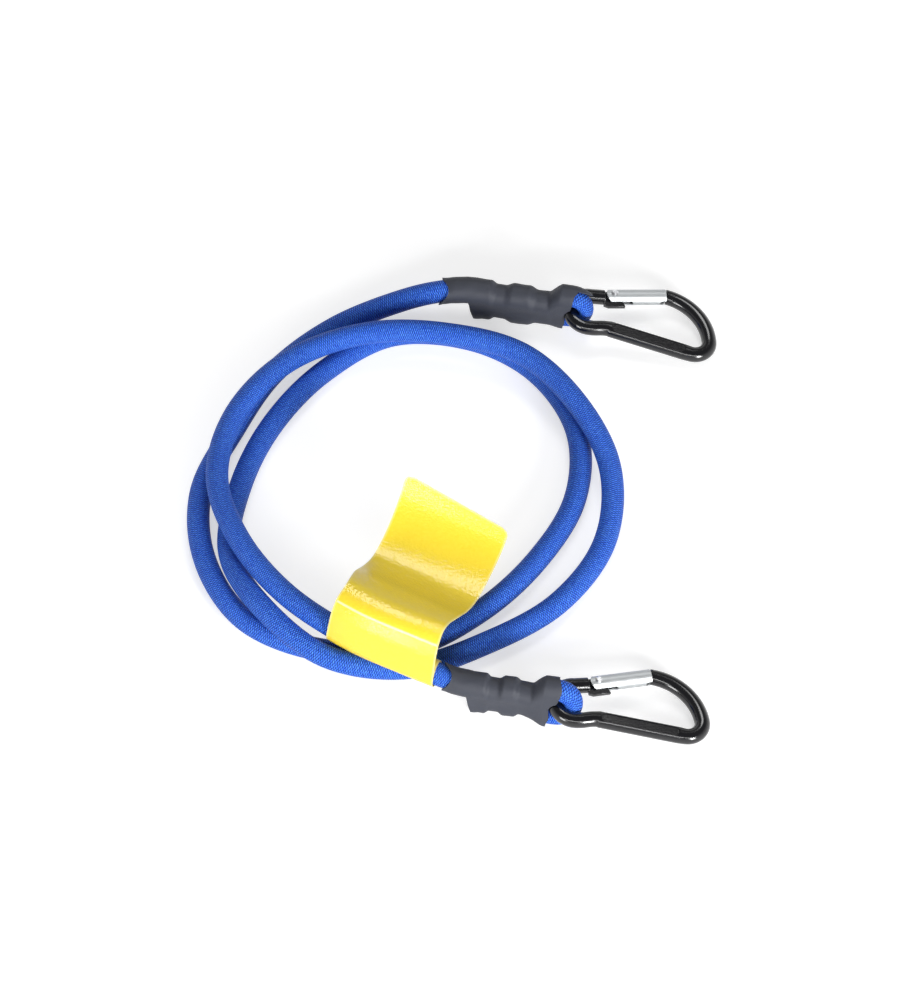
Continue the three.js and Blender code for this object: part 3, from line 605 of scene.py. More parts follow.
label_end = cord_length - (cord_insertion + label_mouth_gap) * MM
label_start = label_end - label_width * MM
wrap_turn = [math.radians(180 + 360 * i / wrap_steps) for i in range(wrap_steps + 1)]
across_line = [
    (label_wrap * math.cos(angle), label_wrap * math.sin(angle)) for angle in wrap_turn
]
flag = [Vector((s * label_reach, z * label_rise, 0)) for s, z in flag_line]
flag = spaced(smooth_curve([Vector((-label_wrap, 0, 0)), *flag], 8), 0.9)
across_line = across_line[:-1] + [(point.x, point.y) for point in flag]
outline_lengths = flat_lengths(across_line)
label_length = outline_lengths[-1]
label_middle = (label_start + label_end) / 2
flag_start, flag_end, flag_middle = (
    on_cord(place)[0] for place in (label_start, label_end, label_middle)
)
flag_along = (flag_end - flag_start).normalized()
flag_back = level_side(flag_along)


def label_point(distance, s, z):
    """The wrap follows the cord's own bend; the flag, past it, is one flat width, and its
    free half twists a little towards the hook's side."""
    centre, back = on_cord(distance)
    bent = centre + back * s * MM
    offset = distance - label_middle
    flat = flag_middle + flag_along * offset + flag_back * s * MM
    loose = ramp(s, flag_loosens, loosening_run)
    free = ramp(s / label_reach, 0.5, 0.5)
    twist = -tip_twist * free * free * offset
    return bent.lerp(flat, gently(loose)) + Vector((0, 0, z * MM + twist))


label_sides = []
for turned in (1, -1):
    grid = []
    for j, (s, z) in enumerate(across_line):
        before = across_line[max(j - 1, 0)]
        after = across_line[min(j + 1, len(across_line) - 1)]
        way = Vector((after[0] - before[0], after[1] - before[1])).normalized()
        shift = turned * label_thickness / 2
        left = label_length - outline_lengths[j]
        trim = 0.0
        if left < label_corner:
            trim = label_corner - math.sqrt(label_corner**2 - (label_corner - left) ** 2)
        row = []
        for i in range(label_points + 1):
            distance = label_start + (trim + (label_width - 2 * trim) * i / label_points) * MM
            row.append(label_point(distance, s - way.y * shift, z + way.x * shift))
        grid.append(row)
    label_sides.append(grid)
rings = [front + rear[::-1] for front, rear in zip(label_sides[0], label_sides[1])]
label = skin("film_label", [rings], [film], caps=True)
layer = label.data.uv_layers["wrap"].data
per_ring = 2 * (label_points + 1)
for loop in label.data.loops:
    j, k = divmod(loop.vertex_index, per_ring)
    along = k if k <= label_points else per_ring - 1 - k
    place = label_width * along / label_points
    left = label_length - outline_lengths[j]
    layer[loop.index].uv = (min(place, label_width - place, left), left)
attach(label, "cord_and_sleeves")
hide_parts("label")

# The folded eyes.
# The cord's last length goes round the hook's rod and back beside itself, squeezed thin
# under the crimped bands and a little drawn in where it bends.
hidden_radius = 4.5
squeezed_radius = 3.1
between_radius = 4.1
bend_line, bend_wide = 7.4, 4.5
bend_reach = {"far": (7.0, 3.4), "near": (8.0, 4.2)}
mouth_lean = {"far": 0.0, "near": 2.8}
tail_drop = -7.9
fold_middle = (main_rise + tail_drop) / 2
mouth_crimp_share = 0.535
eye_crimp = -13.5
crimp_half_pitch = 3.65
band_grip = 2.1
crimp_run = 5.0
eye_mouth, eye_mouth_rise = -4.0, 7.3
lean_start, lean_run = -15, 11
lean_height, most_lean = 15, 1.25
eye_steps = 3
bend_steps = 24
core_slack = 0.1


def fold_side(way):
    """The fold's own side, made square to a direction."""
    side = Vector((0, 1, 0))
    return (side - way * side.dot(way)).normalized()


def leaning(name, point):
    """The fold's lower leg stands a little forward at the eye's mouth."""
    low = min(max((eye_mouth_rise - point.z) / lean_height, 0.0), most_lean)
    lean = mouth_lean[name] * low * gently(ramp(point.x, lean_start, lean_run))
    return point - Vector((0, lean, 0))


def in_place(name, rings):
    """Rings of a fold's own frame, with its lean, put where that fold is."""
    return [[ends[name]["frame"] @ leaning(name, point) for point in ring] for ring in rings]


eye_cores = {}


def eye_piece(name, end):
    """The fold's braided sheath: in along the upper leg, round the rod and back along the
    lower leg. What its rubber core needs is kept in eye_cores."""
    length = end["sleeve"]
    reach, thick = bend_reach[name]
    crimps = (-mouth_crimp_share * length, eye_crimp)
    high, low = fold_middle + crimp_half_pitch, fold_middle - crimp_half_pitch
    stations = []

    def station(x, z, wide, depth=None):
        stations.append((Vector((x, 0, z)), wide, depth or wide))

    start = leg_point(end, -length + cord_insertion + 0.3)
    stations.append((start, hidden_radius, hidden_radius))
    for share in (0.775, 0.72):
        stations.append((leg_point(end, -share * length), hidden_radius, hidden_radius))
    station(crimps[0] - crimp_run, main_rise, between_radius)
    for x in (crimps[0] - band_grip, crimps[0] + band_grip):
        station(x, high, squeezed_radius)
    station(sum(crimps) / 2, main_rise - 0.4, between_radius)
    for x in (crimps[1] - band_grip, crimps[1] + band_grip):
        station(x, high, squeezed_radius)
    station(-8.6, 2.2, 3.7, 3.5)
    station(-6.4, 4.6, 4.1, 3.7)
    station(-4.0, 6.4, 4.4, 3.7)
    for i in range(bend_steps + 1):
        angle = math.radians(105 - 195 * i / bend_steps)
        station(reach * math.cos(angle), bend_line * math.sin(angle), bend_wide, thick)
    station(-3.9, -7.6, 4.4, 3.9)
    station(-7.9, -7.35, 4.1, 3.8)
    for x in (crimps[1] + band_grip, crimps[1] - band_grip):
        station(x, low, squeezed_radius)
    station(sum(crimps) / 2, tail_drop + 0.4, between_radius)
    for x in (crimps[0] + band_grip, crimps[0] - band_grip):
        station(x, low, squeezed_radius)
    station(crimps[0] - crimp_run, tail_drop, between_radius)
    station(-0.7 * length, tail_drop, hidden_radius)
    line = smooth_curve([point for point, _, _ in stations], eye_steps)
    radii = []
    for (_, wide, thick), (_, next_wide, next_thick) in zip(stations, stations[1:]):
        for k in range(eye_steps):
            ease = gently(k / eye_steps)
            radii.append((wide + (next_wide - wide) * ease, thick + (next_thick - thick) * ease))
    radii.append(stations[-1][1:])
    lengths = lengths_along(line)
    ways = [None] * len(line)
    ways[0] = leg_point(end, start.x + 0.1) - leg_point(end, start.x - 0.1)
    ways[-1] = Vector((-1, 0, 0))
    inner_radii = [(wide - sheath_wall, thick - sheath_wall) for wide, thick in radii]
    core_radii = [(wide - core_slack, thick - core_slack) for wide, thick in inner_radii]
    eye_cores[name] = (line, core_radii, ways)
    shells = [
        in_place(name, rings_along(line, shell_radii, cord_sides, fold_side, ways))
        for shell_radii in (radii, inner_radii)
    ]
    return skin(f"{name}_braided_eye", shells, [braid], lengths=[lengths, lengths])


for name, end in ends.items():
    eye = eye_piece(name, end)
    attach(eye, "cord_and_sleeves")
    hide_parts(f"{name}_eye_sheath")

# The rubber cores, in the free cord and in both eyes.
# Pale natural rubber, dusted with talc; nearly nothing of it shows at the cord's ends.
rubber, tree, shader = finish_material("natural_rubber", 0.85)
mottle_finish(tree, shader, (0.62, 0.53, 0.36), (0.78, 0.72, 0.58), 600)
core_sides = 24


def refinish(node, material):
    """A solid that keeps its shape gets the scene's own finish."""
    nodes[node].data.materials.clear()
    nodes[node].data.materials.append(material)


refinish("cord_core", rubber)
for name in ends:
    core_line, core_radii, core_ways = eye_cores[name]
    rings = in_place(name, rings_along(core_line, core_radii, core_sides, fold_side, core_ways))
    eye_core = skin(f"{name}_rubber_eye", [rings], [rubber], caps=True)
    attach(eye_core, "cord_and_sleeves")
    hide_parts(f"{name}_eye_core")

# The shrunk sleeves.
# Thick-walled black-grey tube, shrunk hot over the folded cord and its bands, so that it
# shows their lumps and waists; matt, with a few soft rubs mottled all over it.
sleeve_wall = 0.7
running_gap = 0.3
ground_rise = -13.65
sleeve_sides = 56
round_steps = 32
flank_steps = 16
row_pitch = 0.6
waist_fit = (4.9, 4.85, 0.86)
lump_fit = (4.4, 4.4, 0.98)
lump_back, lump_front = 2.0, 1.6
eye_lump = (-15.0, -10.2)
mouth_saddle, saddle_run = 4.2, 10
saddle_turn = math.radians(55)
wave_height, wave_scale = 0.22, 0.22
lip_steps = 8
least_lip = 0.25
slate, tree, shader = finish_material("shrunk_slate", 0.55, Specular_IOR_Level=0.35)
rub = mottle_finish(tree, shader, (0.025, 0.028, 0.037), (0.052, 0.056, 0.074), 160, 4)
crumple, _ = mottling(tree, 420)
wire(tree, span(tree, rub, 0.3, 0.7, 0.48, 0.64), shader.inputs["Roughness"])
crumpled = calculate(tree, "ADD", rub, calculate(tree, "MULTIPLY", crumple, 0.4))
raise_surface(tree, shader, crumpled, 0.25, 0.0004)


def quarter_round(radius, rise, start):
    """A quarter of a circle round the leg that lies at this rise."""
    turns = (start + math.pi / 2 * k / round_steps for k in range(round_steps + 1))
    return [(radius * math.cos(turn), rise + radius * math.sin(turn)) for turn in turns]


def sleeve_section(x, y, top, low, top_radius, low_radius, waist, extra):
    """Evenly spaced points round both legs, from the crown over the left side."""
    outline = quarter_round(top_radius + extra, top, math.pi / 2)
    for k in range(1, flank_steps):
        share = k / flank_steps
        radius = top_radius + (low_radius - top_radius) * share
        draw = 1 - (1 - waist) * math.sin(math.pi * share) ** 2
        outline.append((-(radius * draw + extra), top + (low - top) * share))
    outline += quarter_round(low_radius + extra, low, math.pi)
    outline += [(-a, b) for a, b in outline[-2:0:-1]]
    closed = outline + [outline[0]]
    lengths = flat_lengths(closed)
    ring, k = [], 0
    for i in range(sleeve_sides):
        place = lengths[-1] * i / sleeve_sides
        while lengths[k + 1] < place:
            k += 1
        share = (place - lengths[k]) / max(lengths[k + 1] - lengths[k], 1e-9)
        (a, b), (c, d) = closed[k], closed[k + 1]
        ring.append(Vector((x, y + a + (c - a) * share, b + (d - b) * share)))
    return ring


def eased(values, share):
    """A smooth value through four numbers at even places, never past the middle two."""
    a, b, c, d = values
    rise_b = 0 if (b - a) * (c - b) <= 0 else (c - a) / 2
    rise_c = 0 if (c - b) * (d - c) <= 0 else (d - b) / 2
    limit = 3 * abs(c - b)
    rise_b, rise_c = (max(-limit, min(limit, rise)) for rise in (rise_b, rise_c))
    t = share
    return (
        b * (2 * t**3 - 3 * t**2 + 1)
        + rise_b * (t**3 - 2 * t**2 + t)
        + c * (3 * t**2 - 2 * t**3)
        + rise_c * (t**3 - t**2)
    )


# How far the lip reaches round the bend, by the turn round the eye's mouth in degrees, and
# on the front, where the lip runs down both legs, by the height.
lip_turn = [-180, -45, 0, 22, 70, 115, 150, 180]
lip_reach = {
    "near": [6.2, 6.2, 5.4, 5.0, 5.0, 3.5, 0, 0],
    "far": [5.2, 5.2, 6.0, 10.5, 10.5, 3.5, 0, 0],
}
front_from = -45
front_height = [-20, -9, -5, -2.5, 1.5, 3.0, 5.0, 20]
front_reach = {
    "near": [0.0, 1.0, 2.2, 2.0, 2.0, 3.2, 6.2, 6.2],
    "far": [0.0, 1.2, 2.2, 2.0, 2.0, 3.2, 5.2, 5.2],
}


def sleeve_rows(end):
    """The sleeve from its mouth to its eye: place, side shift, both legs' heights and radii,
    and how far the flanks are drawn in between the legs."""
    length = end["sleeve"]
    crimp = -mouth_crimp_share * length
    high, low = fold_middle + crimp_half_pitch, fold_middle - crimp_half_pitch
    rows = []
    for share in (1, 0.97, 0.9, 0.83, 0.775):
        at = leg_point(end, -share * length)
        radius = 5.25 if share == 1 else 5.02
        rows.append((at.x, at.y, at.z, at.z - 0.01, radius, radius, 1))
    at = leg_point(end, -0.76 * length)
    rows.append((at.x, at.y, at.z, -3.4, 5.0, 4.9, 1))
    rows.append((-0.735 * length, 0, 2.45, -8.1, 4.95, 5.15, 0.92))
    rows.append((-0.705 * length, 0, 2.45, -8.3, 4.9, 5.0, 0.87))
    for share in (0.66, 0.62):
        rows.append((-share * length, 0, main_rise, tail_drop, *waist_fit))
    for x in (crimp - lump_back, crimp + lump_front):
        rows.append((x, 0, high, low, *lump_fit))
    for share in (0.27, 0.5, 0.73):
        x = crimp + lump_front + share * (eye_lump[0] - crimp - lump_front)
        rows.append((x, 0, main_rise, tail_drop, *waist_fit))
    for x in eye_lump:
        rows.append((x, 0, high, low + 0.2, *lump_fit))
    rows.append((-7.4, 0, 4.1, -7.1, 4.3, 4.2, 1))
    rows.append((-5.2, 0, 6.4, -7.6, 4.5, 4.3, 1))
    rows.append((eye_mouth, 0, eye_mouth_rise, -7.8, 4.6, 4.3, 1))
    dense = []
    for i in range(len(rows) - 1):
        window = [rows[max(i - 1, 0)], rows[i], rows[i + 1], rows[min(i + 2, len(rows) - 1)]]
        steps = max(2, round((rows[i + 1][0] - rows[i][0]) / row_pitch))
        for k in range(steps):
            row = [eased([line[c] for line in window], k / steps) for c in range(7)]
            row[0] = rows[i][0] + (rows[i + 1][0] - rows[i][0]) * k / steps
            dense.append(row)
    dense.append(list(rows[-1]))
    return dense


def tube_ring(row, length, extra):
    """One ring of the sleeve, its mouth cut as a saddle, its outside a little wavy."""
    ring = sleeve_section(*row, extra)
    mouth_share = max(0.0, 1 - (row[0] + length) / saddle_run)
    for point in ring:
        reach = Vector((0, point.y - row[1], point.z - row[2]))
        if mouth_share:
            facing = math.atan2(reach.z, -reach.y) - saddle_turn
            point.x += mouth_saddle * mouth_share**2 * math.cos(facing) ** 2
        if extra > running_gap:
            spot = point * wave_scale + Vector((0, length, 0))
            point += reach.normalized() * wave_height * noise.noise(spot)
    return ring


def lip_travel(name, spoke, rise):
    """How far the lip reaches beyond the eye's mouth on this side of it."""
    turn = math.degrees(math.atan2(spoke.y, spoke.z))
    if turn < front_from:
        stops, reaches, at = front_height, front_reach[name], rise
    else:
        stops, reaches, at = lip_turn, lip_reach[name], turn
    place = max(i for i in range(len(stops) - 1) if stops[i] <= at)
    share = gently((at - stops[place]) / (stops[place + 1] - stops[place]))
    return max(reaches[place] + (reaches[place + 1] - reaches[place]) * share, least_lip)


def lip_point(point, rise, travel):
    """A point of the mouth moved straight to the rod, then rolled down round the bend."""
    if travel <= -eye_mouth:
        return point + Vector((travel, 0, 0))
    roll = (travel + eye_mouth) / eye_mouth_rise
    return Vector((rise * math.sin(roll), point.y, rise * math.cos(roll)))


def sleeve_piece(name, end):
    """The tube from its rows, outside and inside, with the lip that rolls over the bend."""
    rows, shells = sleeve_rows(end), []
    middle = Vector((eye_mouth, 0, eye_mouth_rise))
    for extra in (running_gap + sleeve_wall, running_gap):
        shell = [tube_ring(row, end["sleeve"], extra) for row in rows]
        tip = shell[-1]
        rises = [middle.z + (point - middle).z for point in tip]
        travels = [lip_travel(name, point - middle, rise) for point, rise in zip(tip, rises)]
        for j in range(1, lip_steps + 1):
            ring = zip(tip, rises, travels)
            shell.append([lip_point(point, rise, far * j / lip_steps) for point, rise, far in ring])
        shells.append(shell)
    for extra, shell in zip((0.0, sleeve_wall), shells):
        for point in (point for ring in shell for point in ring):
            point.z = max(point.z, ground_rise + extra)
    return skin(f"{name}_shrunk_sleeve", [in_place(name, shell) for shell in shells], [slate])


for name, end in ends.items():
    sleeve = sleeve_piece(name, end)
    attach(sleeve, "cord_and_sleeves")
    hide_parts(f"{name}_sleeve")

# The crimped bands under the sleeves.
# Flat zinc-plated strip bent round both legs and squeezed; dull, with a mottled plating.
zinc, tree, shader = finish_material("zinc_plate", 0.42, metallic=1.0)
mottle_finish(tree, shader, (0.42, 0.43, 0.45), (0.6, 0.61, 0.62), 500)
for name in ends:
    refinish(f"{name}_mouth_band", zinc)
    refinish(f"{name}_eye_band", zinc)

# The hooks.
# One aluminium rod bent to the hook, its spine pressed flat above and below, its two ends
# slotted for thin tongues, and all of it anodised glossy black.
rod_radius = 3.4
# Places are in the hook's own frame, which has the narrow bend's tip as its origin, X to the
# wide end, Y to the gate and Z square to it.
hook_reach = 63.9
narrow_bend = 8.6
neck = Vector((0.29 * hook_reach, -7.3))
corner_radius = 7.1
corner_centre = Vector((hook_reach - corner_radius, -5.8))
shoulder_radius = 24.3
shoulder_start, shoulder_end = math.radians(8.8), math.radians(84)
shoulder_centre = corner_centre + (corner_radius - shoulder_radius) * Vector(
    (math.cos(shoulder_start), math.sin(shoulder_start))
)
nose = shoulder_centre + shoulder_radius * Vector((math.cos(shoulder_end), math.sin(shoulder_end)))
hinge = Vector((0.294 * hook_reach, 10.35))
gate_angle = math.atan2(nose.y - hinge.y, nose.x - hinge.x)
gate_way = Vector((math.cos(gate_angle), math.sin(gate_angle)))
nose_distance = (nose - hinge).length
gate_gap = 0.5
gate_heel = 3.6
gate_length = nose_distance - gate_gap
heel_distance = gate_heel + gate_gap
heel = hinge - heel_distance * gate_way


def hook_frame(name):
    """Where a hook is, worked out from its gate's hinge and its plunger's slide."""
    pivot = joints[f"{name}_gate_hinge"]
    across = -Vector(pivot["axis"]).normalized()
    gate = Vector(joints[f"{name}_plunger_slide"]["axis"]).normalized()
    side = across.cross(gate)
    x_way = math.cos(gate_angle) * gate - math.sin(gate_angle) * side
    y_way = across.cross(x_way)
    origin = Vector(pivot["pos_m"]) - (x_way * hinge.x + y_way * hinge.y) * MM
    turn = Matrix((x_way, y_way, across)).transposed().to_4x4()
    return Matrix.Translation(origin) @ turn @ Matrix.Scale(MM, 4)


def arc_points(centre, radius, start, finish, count):
    return [
        centre + radius * Vector((math.cos(a), math.sin(a)))
        for a in (start + (finish - start) * i / count for i in range(count + 1))
    ]


def rod_line():
    """The rod's middle, from the hinge round the narrow bend, down to the neck, along the
    spine and round the wide end to the nose."""
    sight = math.atan2(corner_centre.y - neck.y, corner_centre.x - neck.x)
    spine_angle = sight - math.asin(corner_radius / (corner_centre - neck).length)
    touch = spine_angle - math.pi / 2
    line = [heel.lerp(Vector((narrow_bend, narrow_bend)), i / 6) for i in range(6)]
    line += arc_points(Vector((narrow_bend, 0)), narrow_bend, math.pi / 2, 3 * math.pi / 2, 72)
    reach = 0.45 * (neck.x - narrow_bend)
    a, b = Vector((narrow_bend, -narrow_bend)), Vector((narrow_bend + reach, -narrow_bend))
    c, d = Vector((neck.x - reach, neck.y)), neck
    for i in range(1, 32):
        t = i / 32
        line.append(a * (1 - t) ** 3 + 3 * b * t * (1 - t) ** 2 + 3 * c * t**2 * (1 - t) + d * t**3)
    spine_end = corner_centre + corner_radius * Vector((math.cos(touch), math.sin(touch)))
    line += [neck.lerp(spine_end, i / 90) for i in range(90)]
    line += arc_points(corner_centre, corner_radius, touch, shoulder_start, 72)
    line += arc_points(shoulder_centre, shoulder_radius, shoulder_start, shoulder_end, 110)[1:]
    return line


panel_half_width = 2.1
panel_height = 2.3
panel_edge = 0.45
panel_ramp = 0.3
least_half_width = 0.7
spine_swell = 0.085
round_off = 0.35
rod_steps = 330


def rod_ring_turns(half_width):
    """Turns round the rod, with a pair at each edge of the pressed panel."""
    outside = math.acos(min(half_width + 0.15, rod_radius) / rod_radius)
    rim = math.acos(half_width / rod_radius)
    foot = math.acos(max(half_width - panel_edge, 0.04) / rod_radius)
    inside = math.acos(max(half_width - panel_edge - 0.15, 0.02) / rod_radius)
    quarter = [outside * i / 6 for i in range(7)] + [rim]
    across = [inside + (math.pi - 2 * inside) * i / 6 for i in range(7)]
    flat = [foot, *across, math.pi - foot]
    upper = quarter + flat + [math.pi - turn for turn in quarter[:0:-1]]
    return upper + [math.pi + turn for turn in upper]


def rod_piece(name, place):
    """Rings along the rod, closer at both ends of the pressed panel, where the spine is a
    little swollen, and drawn in at the rod's cut ends."""
    line = [Vector((point.x, point.y, 0)) for point in rod_line()]
    marks = lengths_along(line)

    def mark_at(spot):
        return marks[min(range(len(line)), key=lambda i: (line[i].xy - spot).length)]

    panel_start = mark_at(neck) + 1.0
    panel_end = mark_at(corner_centre - Vector((corner_radius * 0.5, corner_radius)))
    stops = [marks[-1] * i / rod_steps for i in range(rod_steps + 1)]
    stops += [panel_start - 0.05 + 0.14 * i for i in range(16)]
    stops += [panel_end + 0.05 - 0.14 * i for i in range(16)]
    rings = []
    for along in sorted(stops):
        k = max(i for i in range(len(marks) - 1) if marks[i] <= along)
        point = line[k].lerp(line[k + 1], (along - marks[k]) / max(marks[k + 1] - marks[k], 1e-9))
        low, high = max(k - 1, 0), min(k + 2, len(line) - 1)
        way = (line[high] - line[low]).normalized()
        if along in (stops[0], marks[-1]):
            way = Vector((-gate_way.x, -gate_way.y, 0))
        side = Vector((-way.y, way.x, 0))
        swell = max(0.0, min(1.0, (along - panel_start + 2.0) / 1.6, (panel_end + 4 - along) / 5))
        wide = 1 + spine_swell * gently(swell)
        half_width = panel_half_width
        inside = min(along - panel_start, panel_end - along)
        if 0 < inside < panel_half_width:
            half_width = math.sqrt(panel_half_width**2 - (panel_half_width - inside) ** 2)
        depth = ramp(inside, 0, panel_ramp)
        half_width = max(half_width, least_half_width)
        ring = []
        for turn in rod_ring_turns(half_width):
            a, h = rod_radius * math.cos(turn), rod_radius * math.sin(turn)
            if abs(a) < half_width - panel_edge + 1e-4 and abs(h) > panel_height:
                h = math.copysign(abs(h) + (panel_height - abs(h)) * depth, h)
            ring.append(point + side * a * wide + Vector((0, 0, h)))
        rings.append(ring)
    step = Vector((gate_way.x, gate_way.y, 0)) * round_off
    drawn = []
    for ring in (rings[0], rings[-1]):
        middle = sum(ring, Vector()) / len(ring)
        drawn.append([middle + (point - middle) * (1 - round_off / rod_radius) for point in ring])
    rings[0] = [point - step for point in rings[0]]
    rings[-1] = [point + step for point in rings[-1]]
    rings = [drawn[0], *rings, drawn[1]]
    rings = [[place @ point for point in ring] for ring in rings]
    piece = skin(f"{name}_hook_rod", [rings], [anodised], caps=True)
    piece.data.set_sharp_from_angle(angle=math.radians(62))
    return piece


anodised, tree, shader = finish_material(
    "black_anodised", 0.16, Coat_Weight=0.5, Coat_Roughness=0.03, Specular_IOR_Level=0.4
)
haze = mottle_finish(tree, shader, (0.0015, 0.0015, 0.002), (0.004, 0.004, 0.006), 350, 3)
wire(tree, span(tree, haze, 0.3, 0.7, 0.12, 0.22), shader.inputs["Roughness"])
raise_surface(tree, shader, haze, 0.06, 0.0004)
tongue_thickness = 2.0
knuckle_radius = 2.4
rivet_bore = 1.4
latch_setback = 3.6
notch = 1.1


def along_gate(points):
    """Pairs along and beside the gate's line, from the hinge, in the hook's own frame."""
    side = Vector((-gate_way.y, gate_way.x))
    return [hinge + gate_way * x + side * y for x, y in points]


def round_points(radius, step, count):
    """Points round the rivet, a step of this many degrees apart."""
    turns = (math.radians(step * i) for i in range(count))
    return [(radius * math.cos(turn), radius * math.sin(turn)) for turn in turns]


def tongue_piece(name, outline, holes, soften, place):
    """A flat tongue with softened edges, from its outline and round holes by the gate's line."""
    curve = bpy.data.curves.new(name, "CURVE")
    curve.dimensions = "2D"
    curve.fill_mode = "BOTH"
    curve.extrude = tongue_thickness / 2 - soften
    curve.bevel_depth = soften
    curve.bevel_resolution = 2
    curve.offset = -soften
    for points in (along_gate(outline), *(along_gate(hole) for hole in holes)):
        spline = curve.splines.new("POLY")
        spline.points.add(len(points) - 1)
        for target, point in zip(spline.points, points):
            target.co = (point[0], point[1], 0, 1)
        spline.use_cyclic_u = True
    shape = put_in_scene(name, curve)
    bpy.context.view_layer.update()
    flat = shape.evaluated_get(bpy.context.evaluated_depsgraph_get())
    mesh = bpy.data.meshes.new_from_object(flat)
    bpy.data.objects.remove(shape)
    mesh.transform(place)
    mesh.materials.clear()
    mesh.materials.append(anodised)
    mesh.shade_smooth()
    mesh.set_sharp_from_angle(angle=math.radians(40))
    mesh.name = name
    return put_in_scene(name, mesh)


for name in ends:
    place = hook_frame(name)
    rod = rod_piece(name, place)
    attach(rod, f"{name}_hook")
    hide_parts(f"{name}_hook_body")
    root = -heel_distance - 1
    toe = [(root, -4.5), (-heel_distance / 2 - 1, -5.5), (1.9 * knuckle_radius, -5.5)]
    toe += round_points(knuckle_radius, 10, 10)
    toe += [(root, knuckle_radius)]
    bore = round_points(rivet_bore, 20, 18)
    hinge_tongue = tongue_piece(f"{name}_hinge_tongue", toe, [bore], 0.2, place)
    latch = gate_length - latch_setback
    tooth = [
        (nose_distance - 6, -knuckle_radius),
        (latch - notch, -knuckle_radius),
        (latch - notch, notch),
        (latch + notch, notch),
        (latch + notch, -knuckle_radius),
        (nose_distance + 1, -knuckle_radius),
        (nose_distance + 1, knuckle_radius),
        (nose_distance - 6, knuckle_radius),
    ]
    nose_tongue = tongue_piece(f"{name}_nose_tongue", tooth, [], 0.15, place)
    for tongue in (hinge_tongue, nose_tongue):
        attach(tongue, f"{name}_hook")

# The gates and what they hold.
# Each gate is bright aluminium sheet folded to a tube with an open seam inside; its rivet,
# latch pin, plunger and coil spring are steel, and keep their solids' shape, smoothed.
folded, tree, shader = finish_material("bright_aluminium", 0.5, metallic=1.0)
streak_scale = tree.nodes.new("ShaderNodeMapping")
streak_scale.inputs["Scale"].default_value = (60, 1100, 1100)
wire(tree, place_on(tree, "Object"), streak_scale.inputs[0])
streak = mottle_finish(
    tree, shader, (0.52, 0.54, 0.55), (0.58, 0.6, 0.61), 1, 3, streak_scale.outputs[0]
)
wire(tree, span(tree, streak, 0.3, 0.7, 0.48, 0.56), shader.inputs["Roughness"])
steel, tree, shader = finish_material("bright_steel", 0.3, metallic=1.0)
mottle_finish(tree, shader, (0.55, 0.56, 0.58), (0.75, 0.76, 0.78), 900)


def smoothed(node, label, body, material):
    """A copy of a solid, without the facets' own edges and with smooth shading."""
    mesh = nodes[node].data.copy()
    mesh.name = label
    mesh.materials.clear()
    mesh.materials.append(material)
    work = bmesh.new()
    work.from_mesh(mesh)
    bmesh.ops.remove_doubles(work, verts=work.verts, dist=1e-6)
    bmesh.ops.dissolve_limit(
        work, angle_limit=math.radians(1), verts=work.verts, edges=work.edges
    )
    work.to_mesh(mesh)
    work.free()
    mesh.shade_smooth()
    mesh.set_sharp_from_angle(angle=math.radians(32))
    piece = put_in_scene(label, mesh)
    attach(piece, body)
    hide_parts(node)


gate_radius = 3.5
gate_wall = 0.6
slot_half, seam_half = 1.3, 0.12
hinge_slot, nose_slot = 7.5, 1.5
slot_round = 1.2
outer_mouth = 6.5
gate_edge = 0.12
side_steps, crown_steps = 24, 4


